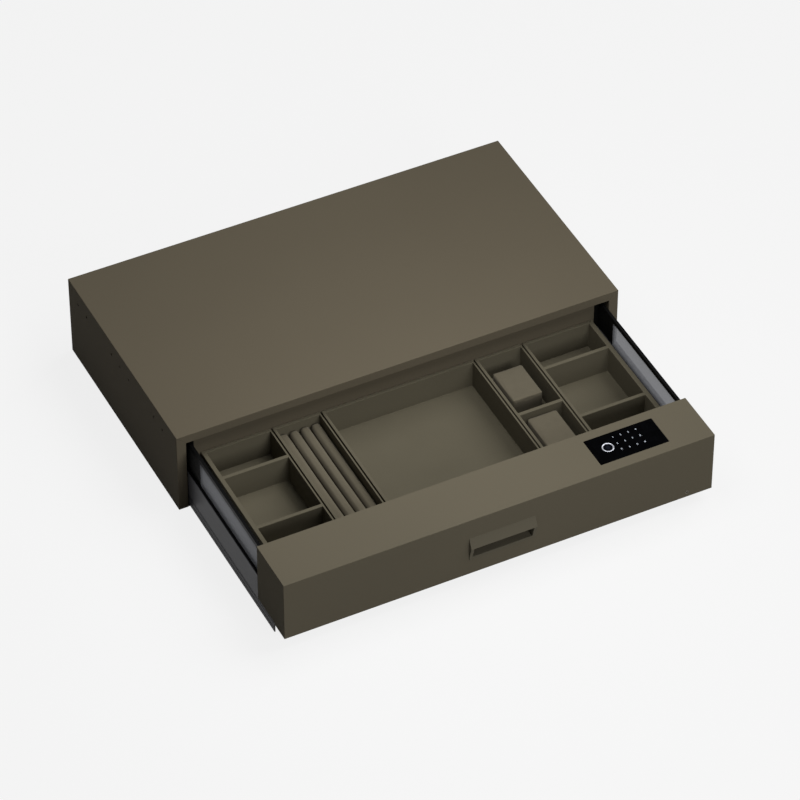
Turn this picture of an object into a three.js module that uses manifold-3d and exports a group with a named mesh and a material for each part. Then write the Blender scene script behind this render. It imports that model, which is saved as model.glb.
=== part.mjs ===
// Under-desk drawer safe: a mitred board cabinet, a full-extension drawer with a keypad
// front box, glass sides and five organiser trays, and a rack-and-pinion bolt lock.
// Millimetres, +Z up. The origin is the centre of the cabinet's underside, -Y is the front.
import * as THREE from 'three';
import { mergeVertices } from 'three/addons/utils/BufferGeometryUtils.js';
import Module from 'manifold-3d';

const wasm = await Module();
wasm.setup();

// Cabinet
const cabinetWidth = 864;
const cabinetDepth = 465;
const cabinetHeight = 170;
const boardThickness = 18;
const edgeChamfer = 0.8;
const bottomThickness = 3;
const fixingHoleRadius = 2.5;
const fixingHoleTopDrop = 29;
const fixingHolePitch = 37;
const frontRowStart = 60;
const middleRowLead = 29.5;
const backRowInset = 79;
const fixingRows = [
  { start: frontRowStart, count: 2 },
  { start: cabinetDepth / 2 - middleRowLead, count: 3 },
  { start: cabinetDepth - backRowInset, count: 2 },
];

// Drawer front box
const frontGap = 1.5;
const frontUnderGap = 20;
const frontBoxDepth = 105;
const shellWall = 2;
const seatGap = 0.3;

// Runners: a hat-shaped drawer member over a middle member over a fixed channel
const runnerLift = 1;
const runnerHeight = 23;
const runnerWidth = 17;
const runnerSheet = 1.5;
const runnerSetback = 39.4;
const runnerSpareTravel = 13.6;
const memberClearance = 0.4;
const middleSheet = 1.2;
const stopWidth = 12;
const stopLength = 7.2;

// Drawer sides
const profileHeight = 55.5;
const profileWidth = 17.5;
const profileWall = 1.5;
const glassThickness = 4;
const glassInset = 6.7;
const glassGrooveDepth = 12.5;
const bracketLength = 63.9;
const bracketLap = 1;
const bracketRelief = 0.2;
const railDrop = 7.3;
const railHeight = 9;
const railWall = 0.8;
const railWeb = 2.2;
const ledgeWidth = 12;
const drawerBackThickness = 10;
const drawerBackEndGap = 2;
const drawerRearClearance = 34.9;
const panThickness = 1.5;
const panLedgeHeight = 16.5;

// Organiser trays
const trayRimDrop = 45.5;
const trayFloor = 5;
const crossWall = 7;
const trayLeftWall = 5.2;
const trayRightWall = 3.2;
const outerLeftWall = 8;
const outerRightWall = 8.8;
const trayGap = 2.8;
const traySideMargin = 14.2;
const rightTrayReach = 7;
const endTrayWidth = 133.7;
const narrowTrayWidth = 92.4;
const trayFrontGap = 0.4;
const endTrayFrontCell = 73;
const endTrayRearCell = 65.9;
const watchTrayFrontCell = 124;
const ringRollCount = 4;
const ringRollRimDrop = 14;
const ringRollShoulder = 6.8;
const ringRollEndRounding = 4;
const ringRollGap = 0.3;
const pillowWidth = 59.4;
const pillowLength = 81.5;
const pillowRimDrop = 13;
const pillowWaist = 19;
const rearPillowBackShare = 0.4063;
const frontPillowBackGap = 1.2;

// Front pull
const pullWidth = 127;
const pullHeight = 50;
const pullTopDrop = 42.5;
const pullPlate = 2;
const pullBorder = 6;
const pullTopBand = 10;
const hoodReach = 8.5;
const hoodHeight = 20;
const hoodSheet = 2;
const cupDepth = 24;
const cupWall = 1.8;

// Keypad
const keypadWidth = 132.5;
const keypadDepth = 64;
const keypadGlassThickness = 3;
const keypadProud = 0.3;
const keypadRightInset = 79;
const keypadFrontInset = 21.4;
const keypadPlay = 0.8;
const housingBorder = 5;
const housingHeight = 16.5;
const housingFloor = 2;
const housingLedge = 2;
const sensorRadius = 11.35;
const sensorRingWidth = 2.6;
const sensorRingHeight = 0.8;
const sensorPadHeight = 0.4;
const sensorSideInset = 30.8;
const sensorFrontInset = 32.6;

// Lock
const boltSideInset = 112.5;
const boltY = 50;
const boltSize = 12;
const boltPlay = 0.3;
const boltTravel = 16;
const boltTipInset = 0.5;
const boltLength = 61;
const gearModule = 1.5;
const gearTeeth = 12;
const pressureAngle = THREE.MathUtils.degToRad(25);
const toothBacklash = 0.4;
const addendumFactor = 0.85;
const dedendumFactor = 1.25;
const pinionWidth = 10;
const shaftRadius = 4;
const shaftHeight = 37;
const shaftPlay = 0.4;
const guideWall = 8;
const guideHeight = 62;
const guideRearWall = 14;
const gearboxWidth = 56;
const gearboxDepth = 32;
const gearboxHeight = 54;
const motorRadius = 13;
const motorLength = 70;
const motorOverlapShare = 0.6;
const strikeWidth = 40;
const strikeLength = 32;
const strikeHeight = 16;
const strikeSheet = 2;
const strikeHolePlay = 1;

// Electronics and battery
const controlBoxSize = new THREE.Vector3(72, 50, 22);
const controlBoxGap = 4;
const controlBoxFrontInset = 30;
const caseWidth = 58;
const caseDepth = 34;
const caseHeight = 36;
const caseWall = 2;
const caseSideInset = 224.5;
const caseTopDrop = 5;
const cellRadius = 7.1;
const cellLength = 50;
const cellNubRadius = 2.7;
const cellNubLength = 1.2;
const cellColumns = 2;
const cellRows = 2;
const lidThickness = 2;
const lidOverlap = 3;
const lidPinRadius = 1.2;
const lidBarrelRadius = 1.8;
const earWidth = 3.6;
const earPlay = 0.3;
const earBorder = 0.4;
const earRoot = 0.5;
const cableRadius = 2;
const cableLead = 14;
const cableDip = 6;
const cableRise = 2;
const socketRadius = 2.6;
const socketFlangeRadius = 3.4;
const socketFlange = 0.8;
const socketLength = 12;
const socketSideInset = 50.2;
const socketRise = 11.7;

// How far a cutting block runs past the face that it cuts
const cutLap = 1;

// Places worked out from the sizes above
const cabinetFront = -cabinetDepth / 2;
const halfInside = cabinetWidth / 2 - boardThickness;
const ceiling = cabinetHeight - boardThickness;
const halfFront = halfInside - frontGap;
const boltSpread = halfFront - boltSideInset;
const caseRight = caseSideInset + caseWidth - halfFront;
const frontTop = ceiling - frontGap;
const frontBottom = bottomThickness + frontUnderGap;
const shellFloor = frontBottom + shellWall;
const shellCeiling = frontTop - shellWall;
const runnerBottom = bottomThickness + runnerLift;
const runnerTop = runnerBottom + runnerHeight;
const runnerInner = halfFront - runnerWidth;
const stopFront = cabinetDepth - boardThickness - stopLength;
const runnerLength = stopFront - memberClearance - runnerSetback;
const restOpening = runnerLength - runnerSpareTravel;
const profileTop = runnerTop + profileHeight;
const profileInner = halfFront - profileWidth;
const glassOuter = halfFront - glassInset;
const glassInner = glassOuter - glassThickness;
const glassBottom = profileTop - glassGrooveDepth;
const railTop = frontTop - railDrop;
const railOuter = glassOuter + railWall;
const railInner = glassInner - railWall;
const glassTop = railTop - railWeb;
const panTop = runnerTop + panLedgeHeight + panThickness;
const drawerEnd = cabinetDepth - boardThickness - drawerRearClearance;
const drawerBackFront = drawerEnd - drawerBackThickness;
const glassLength = drawerEnd - frontBoxDepth - bracketLength;
const traySpan = profileInner - traySideMargin;
const trayFront = frontBoxDepth + trayFrontGap;
const trayBack = drawerBackFront - seatGap;
const trayLength = trayBack - trayFront;
const trayFloorTop = panTop + trayFloor;
const trayRim = frontTop - trayRimDrop;
const ringRollHeight = trayRim - ringRollRimDrop - trayFloorTop;
const pillowHeight = trayRim - pillowRimDrop - trayFloorTop;
const pitchRadius = gearModule * gearTeeth / 2;
const rackPitchLine = boltY + boltSize / 2 - gearModule * addendumFactor;
const shaftY = rackPitchLine + pitchRadius;
const shaftZ = shellFloor + shaftHeight;

// Colours and finishes
const finishes = {
  olive: { color: 0x6a6456, roughness: 0.55, metalness: 0 },
  oliveMetal: { color: 0x6c6658, roughness: 0.5, metalness: 0 },
  liner: { color: 0x605b4d, roughness: 0.85, metalness: 0 },
  velvet: { color: 0x6e6858, roughness: 0.95, metalness: 0 },
  steel: { color: 0x8d9094, roughness: 0.35, metalness: 1 },
  aluminium: { color: 0x6f7072, roughness: 0.4, metalness: 0.9 },
  blackMetal: { color: 0x0d0d0e, roughness: 0.35, metalness: 0.4 },
  smokedGlass: { color: 0x77787c, roughness: 0.06, metalness: 0, transparent: true, opacity: 0.6 },
  blackGlass: { color: 0x030407, roughness: 0.05, metalness: 0 },
  chrome: { color: 0xd8dbe0, roughness: 0.12, metalness: 1 },
  plastic: { color: 0x1c1c1e, roughness: 0.5, metalness: 0 },
  rubber: { color: 0x141414, roughness: 0.9, metalness: 0 },
  cell: { color: 0x9a7b3c, roughness: 0.4, metalness: 0.3 },
};

function materialOf(finish) {
  return new THREE.MeshStandardMaterial(finishes[finish]);
}

function place(parent, name, geometry, finish) {
  const mesh = new THREE.Mesh(geometry, materialOf(finish));
  mesh.name = name;
  parent.add(mesh);
  return mesh;
}

// Geometry helpers
function box(x0, x1, y0, y1, z0, z1) {
  const geometry = new THREE.BoxGeometry(x1 - x0, y1 - y0, z1 - z0);
  geometry.translate((x0 + x1) / 2, (y0 + y1) / 2, (z0 + z1) / 2);
  return geometry;
}

function outline(points) {
  return new THREE.Shape(points.map(([a, b]) => new THREE.Vector2(a, b)));
}

function extruded(shape, length, bevel = 0) {
  return new THREE.ExtrudeGeometry(shape, {
    depth: length - 2 * bevel,
    curveSegments: 8,
    bevelEnabled: bevel > 0,
    bevelThickness: bevel,
    bevelSize: bevel,
    bevelOffset: -bevel,
    bevelSegments: 1,
  }).translate(0, 0, bevel);
}

// A shape drawn as (y, z) and pushed along X
function alongX(shape, x0, x1, bevel = 0) {
  const turn = new THREE.Matrix4().set(0, 0, 1, 0, 1, 0, 0, 0, 0, 1, 0, 0, 0, 0, 0, 1);
  return extruded(shape, x1 - x0, bevel).applyMatrix4(turn).translate(x0, 0, 0);
}

// A shape drawn as (x, z) and pushed along Y
function alongY(shape, y0, y1, bevel = 0) {
  const turn = new THREE.Matrix4().set(1, 0, 0, 0, 0, 0, -1, 0, 0, 1, 0, 0, 0, 0, 0, 1);
  return extruded(shape, y1 - y0, bevel).applyMatrix4(turn).translate(0, y1, 0);
}

function rodX(radius, x0, x1, y, z, sides = 16) {
  const rod = new THREE.CylinderGeometry(radius, radius, x1 - x0, sides);
  return rod.rotateZ(Math.PI / 2).translate((x0 + x1) / 2, y, z);
}

function rodY(radius, y0, y1, x, z, sides = 16) {
  const rod = new THREE.CylinderGeometry(radius, radius, y1 - y0, sides);
  return rod.translate(x, (y0 + y1) / 2, z);
}

function rodZ(radius, z0, z1, x, y, sides = 32) {
  const rod = new THREE.CylinderGeometry(radius, radius, z1 - z0, sides);
  return rod.rotateX(Math.PI / 2).translate(x, y, (z0 + z1) / 2);
}

// Booleans
function solid(geometry) {
  const bare = geometry.clone();
  bare.deleteAttribute('normal');
  bare.deleteAttribute('uv');
  const merged = mergeVertices(bare, 1e-4);
  return new wasm.Manifold(new wasm.Mesh({
    numProp: 3,
    vertProperties: new Float32Array(merged.attributes.position.array),
    triVerts: new Uint32Array(merged.index.array),
  }));
}

function geometryOf(body) {
  const mesh = body.getMesh();
  const geometry = new THREE.BufferGeometry();
  geometry.setAttribute('position', new THREE.BufferAttribute(mesh.vertProperties, 3));
  geometry.setIndex(new THREE.BufferAttribute(mesh.triVerts, 1));
  return geometry;
}

function joined(...geometries) {
  const [first, ...rest] = geometries.map(solid);
  return geometryOf(rest.reduce((body, piece) => body.add(piece), first));
}

function cut(geometry, ...tools) {
  return geometryOf(tools.reduce((body, tool) => body.subtract(solid(tool)), solid(geometry)));
}

function mirrored(geometry) {
  const flipped = geometry.clone().scale(-1, 1, 1);
  const merged = flipped.index ? flipped : mergeVertices(flipped);
  const index = merged.index.array;
  for (let i = 0; i < index.length; i += 3) {
    [index[i], index[i + 1]] = [index[i + 1], index[i]];
  }
  merged.deleteAttribute('normal');
  return merged;
}

// A right-hand piece and its mirror image on the left
function placePair(parent, name, rightGeometry, finish) {
  place(parent, `left_${name}`, mirrored(rightGeometry), finish);
  place(parent, `right_${name}`, rightGeometry, finish);
}

// Cabinet boards: the top and the sides meet in mitres, with a broken outer edge
function makeTopBoard() {
  const half = cabinetWidth / 2;
  const mitreTip = edgeChamfer / 2;
  const shape = outline([
    [halfInside, ceiling],
    [half - mitreTip, cabinetHeight - mitreTip],
    [half - edgeChamfer, cabinetHeight],
    [-half + edgeChamfer, cabinetHeight],
    [-half + mitreTip, cabinetHeight - mitreTip],
    [-halfInside, ceiling],
  ]);
  return alongY(shape, cabinetFront, cabinetFront + cabinetDepth, edgeChamfer / 2);
}

function makeRightSideBoard() {
  const half = cabinetWidth / 2;
  const mitreTip = edgeChamfer / 2;
  const shape = outline([
    [halfInside, 0],
    [half, 0],
    [half, cabinetHeight - edgeChamfer],
    [half - mitreTip, cabinetHeight - mitreTip],
    [halfInside, ceiling],
  ]);
  const board = alongY(shape, cabinetFront, cabinetFront + cabinetDepth, edgeChamfer / 2);
  const holes = [];
  for (const row of fixingRows) {
    for (let i = 0; i < row.count; i += 1) {
      const y = cabinetFront + row.start + i * fixingHolePitch;
      const z = cabinetHeight - fixingHoleTopDrop;
      holes.push(rodX(fixingHoleRadius, halfInside - cutLap, half + cutLap, y, z, 12));
    }
  }
  return cut(board, ...holes);
}

function makeBackBoard() {
  const back = cabinetFront + cabinetDepth;
  return box(-halfInside, halfInside, back - boardThickness, back, 0, ceiling);
}

function makeBottomPlate() {
  const back = cabinetFront + cabinetDepth - boardThickness;
  return box(-halfInside, halfInside, cabinetFront + edgeChamfer, back, 0, bottomThickness);
}

// The strike is a folded keeper on the bottom plate with a square hole for the bolt
function makeRightStrike() {
  const y = cabinetFront + boltY;
  const top = bottomThickness + strikeHeight;
  const inner = strikeWidth / 2 - strikeSheet;
  const hole = boltSize / 2 + strikeHolePlay;
  return cut(
    box(boltSpread - strikeWidth / 2, boltSpread + strikeWidth / 2,
      y - strikeLength / 2, y + strikeLength / 2, bottomThickness, top),
    box(boltSpread - inner, boltSpread + inner,
      y - strikeLength, y + strikeLength, bottomThickness - cutLap, top - strikeSheet),
    box(boltSpread - hole, boltSpread + hole, y - hole, y + hole, bottomThickness, top + cutLap),
  );
}

// Runner members, drawn on the right side
function makeDrawerRunner() {
  const shape = outline([
    [runnerInner, runnerBottom],
    [runnerInner + runnerSheet, runnerBottom],
    [runnerInner + runnerSheet, runnerTop - runnerSheet],
    [halfFront - runnerSheet, runnerTop - runnerSheet],
    [halfFront - runnerSheet, runnerBottom],
    [halfFront, runnerBottom],
    [halfFront, runnerTop],
    [runnerInner, runnerTop],
  ]);
  return alongY(shape, runnerSetback, runnerSetback + runnerLength);
}

function makeMiddleRunner() {
  const inner = runnerInner + runnerSheet + memberClearance;
  const outer = halfFront - runnerSheet - memberClearance;
  const top = runnerTop - runnerSheet - memberClearance;
  const bottom = runnerBottom + memberClearance;
  const shape = outline([
    [inner, bottom],
    [inner + middleSheet, bottom],
    [inner + middleSheet, top - middleSheet],
    [outer - middleSheet, top - middleSheet],
    [outer - middleSheet, bottom],
    [outer, bottom],
    [outer, top],
    [inner, top],
  ]);
  return alongY(shape, runnerSetback, runnerSetback + runnerLength);
}

function makeCabinetRunner() {
  const reach = runnerSheet + memberClearance + middleSheet + memberClearance;
  const inner = runnerInner + reach;
  const outer = halfFront - reach;
  const top = runnerTop - reach;
  const shape = outline([
    [inner, bottomThickness],
    [outer, bottomThickness],
    [outer, top],
    [outer - runnerSheet, top],
    [outer - runnerSheet, bottomThickness + runnerSheet],
    [inner + runnerSheet, bottomThickness + runnerSheet],
    [inner + runnerSheet, top],
    [inner, top],
  ]);
  const start = cabinetFront + runnerSetback;
  return alongY(shape, start, start + runnerLength);
}

function makeRunnerStop() {
  const centre = halfFront - runnerWidth / 2;
  const front = cabinetFront + stopFront;
  return box(centre - stopWidth / 2, centre + stopWidth / 2, front, front + stopLength,
    bottomThickness, runnerTop);
}

// Drawer side: a hollow profile with a ledge for the base pan and a groove for the glass
function makeSideProfile() {
  const ledgeTop = panTop - panThickness;
  const shape = outline([
    [profileInner, runnerTop],
    [halfFront, runnerTop],
    [halfFront, profileTop],
    [halfFront - profileWall, profileTop],
    [halfFront - profileWall, glassBottom],
    [glassInner, glassBottom],
    [glassInner, profileTop],
    [profileInner, profileTop],
    [profileInner, ledgeTop],
    [profileInner - ledgeWidth, ledgeTop],
    [profileInner - ledgeWidth, ledgeTop - profileWall],
    [profileInner, ledgeTop - profileWall],
  ]);
  shape.holes.push(new THREE.Path([
    [profileInner + profileWall, runnerTop + profileWall],
    [profileInner + profileWall, glassBottom - profileWall],
    [halfFront - profileWall, glassBottom - profileWall],
    [halfFront - profileWall, runnerTop + profileWall],
  ].map(([x, z]) => new THREE.Vector2(x, z))));
  return alongY(shape, frontBoxDepth, drawerEnd);
}

function makeSideGlass() {
  return box(glassInner, glassOuter, frontBoxDepth, frontBoxDepth + glassLength,
    glassBottom, glassTop);
}

function makeTopRail() {
  const bottom = railTop - railHeight;
  const shape = outline([
    [railInner, bottom],
    [glassInner, bottom],
    [glassInner, glassTop],
    [glassOuter, glassTop],
    [glassOuter, bottom],
    [railOuter, bottom],
    [railOuter, railTop],
    [railInner, railTop],
  ]);
  return alongY(shape, frontBoxDepth, drawerEnd);
}

// The rear bracket carries on the glass line and turns in to hold the drawer's back
function makeRearBracket() {
  const start = frontBoxDepth + glassLength + seatGap;
  const backEnd = profileInner - drawerBackEndGap;
  return joined(
    box(glassInner, glassOuter, start, drawerEnd, glassBottom, glassTop),
    box(backEnd, glassInner + bracketLap, drawerBackFront, drawerEnd,
      profileTop, railTop - railHeight),
    box(backEnd, railInner - bracketRelief, drawerBackFront, drawerEnd, profileTop, railTop),
  );
}

function makeDrawerBack() {
  const half = profileInner - drawerBackEndGap;
  return box(-half, half, drawerBackFront, drawerEnd, panTop, railTop);
}

function makeBasePan() {
  return box(-profileInner, profileInner, frontBoxDepth, drawerEnd,
    panTop - panThickness, panTop);
}

// Organiser trays: a wide left wall, a thin right wall and cross walls between the cells
function makeTray(x0, x1, cellLengths, leftWall = trayLeftWall, rightWall = trayRightWall) {
  const cells = [];
  let start = trayFront + crossWall;
  for (const length of cellLengths) {
    cells.push([start, start + length]);
    start += length + crossWall;
  }
  cells.push([start, trayBack - crossWall]);
  const tools = cells.map(([y0, y1]) => (
    box(x0 + leftWall, x1 - rightWall, y0, y1, trayFloorTop, trayRim + cutLap)
  ));
  return cut(box(x0, x1, trayFront, trayBack, panTop, trayRim), ...tools);
}

// A ring roll is a bolster with a flat top, round shoulders and rounded ends
function makeRingRoll(x0, x1) {
  const left = x0 + ringRollGap / 2;
  const right = x1 - ringRollGap / 2;
  const bottom = trayFloorTop + seatGap;
  const shoulder = trayFloorTop + ringRollHeight - ringRollShoulder;
  const shape = new THREE.Shape();
  shape.moveTo(left, bottom);
  shape.lineTo(right, bottom);
  shape.absarc(right - ringRollShoulder, shoulder, ringRollShoulder, 0, Math.PI / 2, false);
  shape.absarc(left + ringRollShoulder, shoulder, ringRollShoulder, Math.PI / 2, Math.PI, false);
  shape.closePath();
  const length = trayLength - 2 * (crossWall + seatGap);
  const start = trayFront + crossWall + seatGap;
  const roll = new THREE.ExtrudeGeometry(shape, {
    depth: length - 2 * ringRollEndRounding,
    curveSegments: 12,
    bevelThickness: ringRollEndRounding,
    bevelSize: ringRollEndRounding / 2,
    bevelOffset: -ringRollEndRounding / 2,
    bevelSegments: 3,
  });
  const turn = new THREE.Matrix4().set(1, 0, 0, 0, 0, 0, -1, 0, 0, 1, 0, 0, 0, 0, 0, 1);
  roll.applyMatrix4(turn).translate(0, start + length - ringRollEndRounding, 0);
  roll.computeBoundingBox();
  return roll.translate(0, 0, bottom - roll.boundingBox.min.z);
}

// A watch pillow is a full pad with a nearly flat top and soft edges and corners
function makePillow(centreX, backEdge) {
  const around = 28;
  const rings = 12;
  const planPower = 0.2;
  const sidePower = 0.32;
  const power = (value, exponent) => Math.sign(value) * Math.abs(value) ** exponent;
  const bottom = trayFloorTop + seatGap;
  const middle = bottom + pillowWaist;
  const crown = pillowHeight - pillowWaist;
  const centreY = backEdge - pillowLength / 2;
  const positions = [];
  const ringPoint = (ring, step) => {
    const rise = -Math.PI / 2 + Math.PI * ring / rings;
    const turn = 2 * Math.PI * step / around;
    const spread = power(Math.cos(rise), sidePower);
    positions.push(
      centreX + pillowWidth / 2 * spread * power(Math.cos(turn), planPower),
      centreY + pillowLength / 2 * spread * power(Math.sin(turn), planPower),
      Math.max(bottom, middle + crown * power(Math.sin(rise), sidePower)),
    );
  };
  positions.push(centreX, centreY, bottom);
  for (let ring = 1; ring < rings; ring += 1) {
    for (let step = 0; step < around; step += 1) ringPoint(ring, step);
  }
  positions.push(centreX, centreY, middle + crown);
  const index = [];
  const at = (ring, step) => 1 + (ring - 1) * around + step % around;
  const top = positions.length / 3 - 1;
  for (let step = 0; step < around; step += 1) {
    index.push(0, at(1, step + 1), at(1, step));
    for (let ring = 1; ring < rings - 1; ring += 1) {
      index.push(at(ring, step), at(ring, step + 1), at(ring + 1, step + 1));
      index.push(at(ring, step), at(ring + 1, step + 1), at(ring + 1, step));
    }
    index.push(top, at(rings - 1, step), at(rings - 1, step + 1));
  }
  const pillow = new THREE.BufferGeometry();
  pillow.setAttribute('position', new THREE.Float32BufferAttribute(positions, 3));
  pillow.setIndex(index);
  return pillow;
}

// Front box: a folded shell, open at the back, with notches that clear the runners
const pullTop = frontTop - pullTopDrop;
const pullBottom = pullTop - pullHeight;
const slotHalf = pullWidth / 2 - pullBorder;
const slotBottom = pullBottom + pullBorder;
const slotTop = pullTop - pullTopBand;
const keypadRight = halfFront - keypadRightInset;
const keypadLeft = keypadRight - keypadWidth;
const keypadBack = keypadFrontInset + keypadDepth;
const socketX = halfFront - socketSideInset;
const socketZ = frontBottom + socketRise;

function makeFrontShell() {
  const shape = outline([
    [0, frontBottom + edgeChamfer],
    [edgeChamfer, frontBottom],
    [frontBoxDepth, frontBottom],
    [frontBoxDepth, frontTop],
    [edgeChamfer, frontTop],
    [0, frontTop - edgeChamfer],
  ]);
  const block = alongX(shape, -halfFront, halfFront, edgeChamfer / 2);
  const inside = box(-halfFront + shellWall, halfFront - shellWall,
    shellWall, frontBoxDepth + cutLap, shellFloor, shellCeiling);
  const notchInner = runnerInner - memberClearance;
  const notchTop = runnerTop + memberClearance;
  const notchFront = runnerSetback - memberClearance;
  const cupHalf = slotHalf + cupWall + seatGap;
  const boltHole = boltSize / 2 + boltPlay;
  const boxBack = frontBoxDepth + cutLap;
  const tools = [
    inside,
    box(notchInner, halfFront + cutLap, notchFront, boxBack, 0, notchTop),
    box(-halfFront - cutLap, -notchInner, notchFront, boxBack, 0, notchTop),
    box(-cupHalf, cupHalf, -cutLap, shellWall + cutLap,
      slotBottom - cupWall - seatGap, slotTop + cupWall + seatGap),
    box(keypadLeft - keypadPlay, keypadRight + keypadPlay, keypadFrontInset - keypadPlay,
      keypadBack + keypadPlay, shellCeiling - cutLap, frontTop + cutLap),
    rodY(socketRadius + seatGap, -cutLap, shellWall + cutLap, socketX, socketZ, 12),
  ];
  for (const x of [-boltSpread, boltSpread]) {
    tools.push(box(x - boltHole, x + boltHole, boltY - boltHole, boltY + boltHole,
      frontBottom - cutLap, shellFloor + cutLap));
  }
  return cut(block, ...tools);
}

// The plate that closes the box, with the battery opening and two hinge ears
const caseLeft = caseRight - caseWidth;
const caseTop = shellCeiling - caseTopDrop;
const caseBottom = caseTop - caseHeight;
const plateFront = frontBoxDepth - shellWall;
const lidBottom = caseBottom + caseWall;
const lidAxisY = frontBoxDepth + earPlay + lidThickness;
const lidAxisZ = lidBottom + lidBarrelRadius;

function makeFrontBoxBack() {
  const half = halfFront - shellWall;
  const notchInner = runnerInner - memberClearance;
  const notchTop = runnerTop + memberClearance;
  const plate = cut(
    box(-half, half, plateFront, frontBoxDepth, shellFloor, shellCeiling),
    box(caseLeft + caseWall, caseRight - caseWall, plateFront - cutLap, frontBoxDepth + cutLap,
      caseBottom + caseWall, caseTop - caseWall),
    box(notchInner, half + cutLap, plateFront - cutLap, frontBoxDepth + cutLap,
      shellFloor - cutLap, notchTop),
    box(-half - cutLap, -notchInner, plateFront - cutLap, frontBoxDepth + cutLap,
      shellFloor - cutLap, notchTop),
  );
  const earReach = lidAxisY + lidBarrelRadius;
  const earHalf = lidBarrelRadius + earBorder;
  const ears = [caseLeft - lidOverlap - earPlay - earWidth, caseRight + lidOverlap + earPlay];
  const bodies = ears.map((x) => (
    box(x, x + earWidth, frontBoxDepth - earRoot, earReach, lidAxisZ - earHalf, lidAxisZ + earHalf)
  ));
  const bore = rodX(lidPinRadius + earPlay, caseLeft - 2 * cableLead, caseRight + 2 * cableLead,
    lidAxisY, lidAxisZ, 12);
  return cut(joined(plate, ...bodies), bore);
}

function makeBatteryLid() {
  const left = caseLeft - lidOverlap;
  const right = caseRight + lidOverlap;
  const pinReach = earWidth;
  return joined(
    box(left, right, lidAxisY - lidThickness, lidAxisY, lidAxisZ, caseTop),
    rodX(lidBarrelRadius, left, right, lidAxisY, lidAxisZ, 12),
    rodX(lidPinRadius, left - pinReach, right + pinReach, lidAxisY, lidAxisZ, 12),
  );
}

function makeBatteryCase() {
  const front = plateFront - caseDepth;
  return cut(
    box(caseLeft, caseRight, front, plateFront, caseBottom, caseTop),
    box(caseLeft + caseWall, caseRight - caseWall, front + caseWall, plateFront + cutLap,
      caseBottom + caseWall, caseTop - caseWall),
  );
}

function makeCell(column, row) {
  const pitch = 2 * cellRadius + seatGap;
  const y = plateFront - caseDepth + caseWall + seatGap + cellRadius + column * pitch;
  const z = caseBottom + caseWall + seatGap + cellRadius + row * pitch;
  const x = (caseLeft + caseRight) / 2;
  return joined(
    rodX(cellRadius, x - cellLength / 2, x + cellLength / 2 - cellNubLength, y, z, 20),
    rodX(cellNubRadius, x, x + cellLength / 2, y, z, 12),
  );
}

// Front pull: a low plate, two tapered cheeks and a sloping hood over a finger cup
function makeFrontPull() {
  const half = pullWidth / 2;
  const lipZ = pullTop - hoodHeight;
  const hoodDrop = hoodSheet * hoodHeight / hoodReach;
  const hood = outline([
    [0, pullTop],
    [-hoodReach, lipZ],
    [hoodSheet - hoodReach, lipZ],
    [0, pullTop - hoodDrop],
  ]);
  const cheek = outline([
    [0, pullTop],
    [-hoodReach, lipZ],
    [-pullPlate, slotBottom],
    [-pullPlate, pullBottom],
    [0, pullBottom],
  ]);
  const cup = cut(
    box(-slotHalf - cupWall, slotHalf + cupWall, -cutLap, cupDepth,
      slotBottom - cupWall, slotTop + cupWall),
    box(-slotHalf, slotHalf, -2 * cutLap, cupDepth - cupWall, slotBottom, slotTop),
  );
  return joined(cup,
    box(-half, half, -pullPlate, 0, pullBottom, slotBottom),
    alongX(hood, -half, half),
    alongX(cheek, -half, -slotHalf),
    alongX(cheek, slotHalf, half));
}

// Keypad: black glass in a housing under the shell's top, with a ringed finger sensor
const glassTopZ = frontTop + keypadProud;
const glassSeat = glassTopZ - keypadGlassThickness;
const sensorX = keypadLeft + sensorSideInset;
const sensorY = keypadFrontInset + sensorFrontInset;

function makeKeypadHousing() {
  const outer = housingBorder + keypadPlay;
  return cut(
    box(keypadLeft - outer, keypadRight + outer, keypadFrontInset - outer,
      keypadBack + outer, shellCeiling - housingHeight, shellCeiling),
    box(keypadLeft - seatGap, keypadRight + seatGap, keypadFrontInset - seatGap,
      keypadBack + seatGap, glassSeat, shellCeiling + cutLap),
    box(keypadLeft + housingLedge, keypadRight - housingLedge,
      keypadFrontInset + housingLedge, keypadBack - housingLedge,
      shellCeiling - housingHeight + housingFloor, shellCeiling + cutLap),
  );
}

function makeKeypadGlass() {
  return box(keypadLeft, keypadRight, keypadFrontInset, keypadBack, glassSeat, glassTopZ);
}

function makeSensorRing() {
  const top = glassTopZ + sensorRingHeight;
  return cut(
    rodZ(sensorRadius, glassTopZ, top, sensorX, sensorY, 40),
    rodZ(sensorRadius - sensorRingWidth, glassTopZ - cutLap, top + cutLap, sensorX, sensorY, 40),
  );
}

function makeSensorPad() {
  const radius = sensorRadius - sensorRingWidth - seatGap;
  return rodZ(radius, glassTopZ, glassTopZ + sensorPadHeight, sensorX, sensorY, 40);
}

function makeSocket() {
  return joined(
    rodY(socketFlangeRadius, -socketFlange, 0, socketX, socketZ, 16),
    rodY(socketRadius, -socketFlange / 2, socketLength, socketX, socketZ, 12),
  );
}

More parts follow.
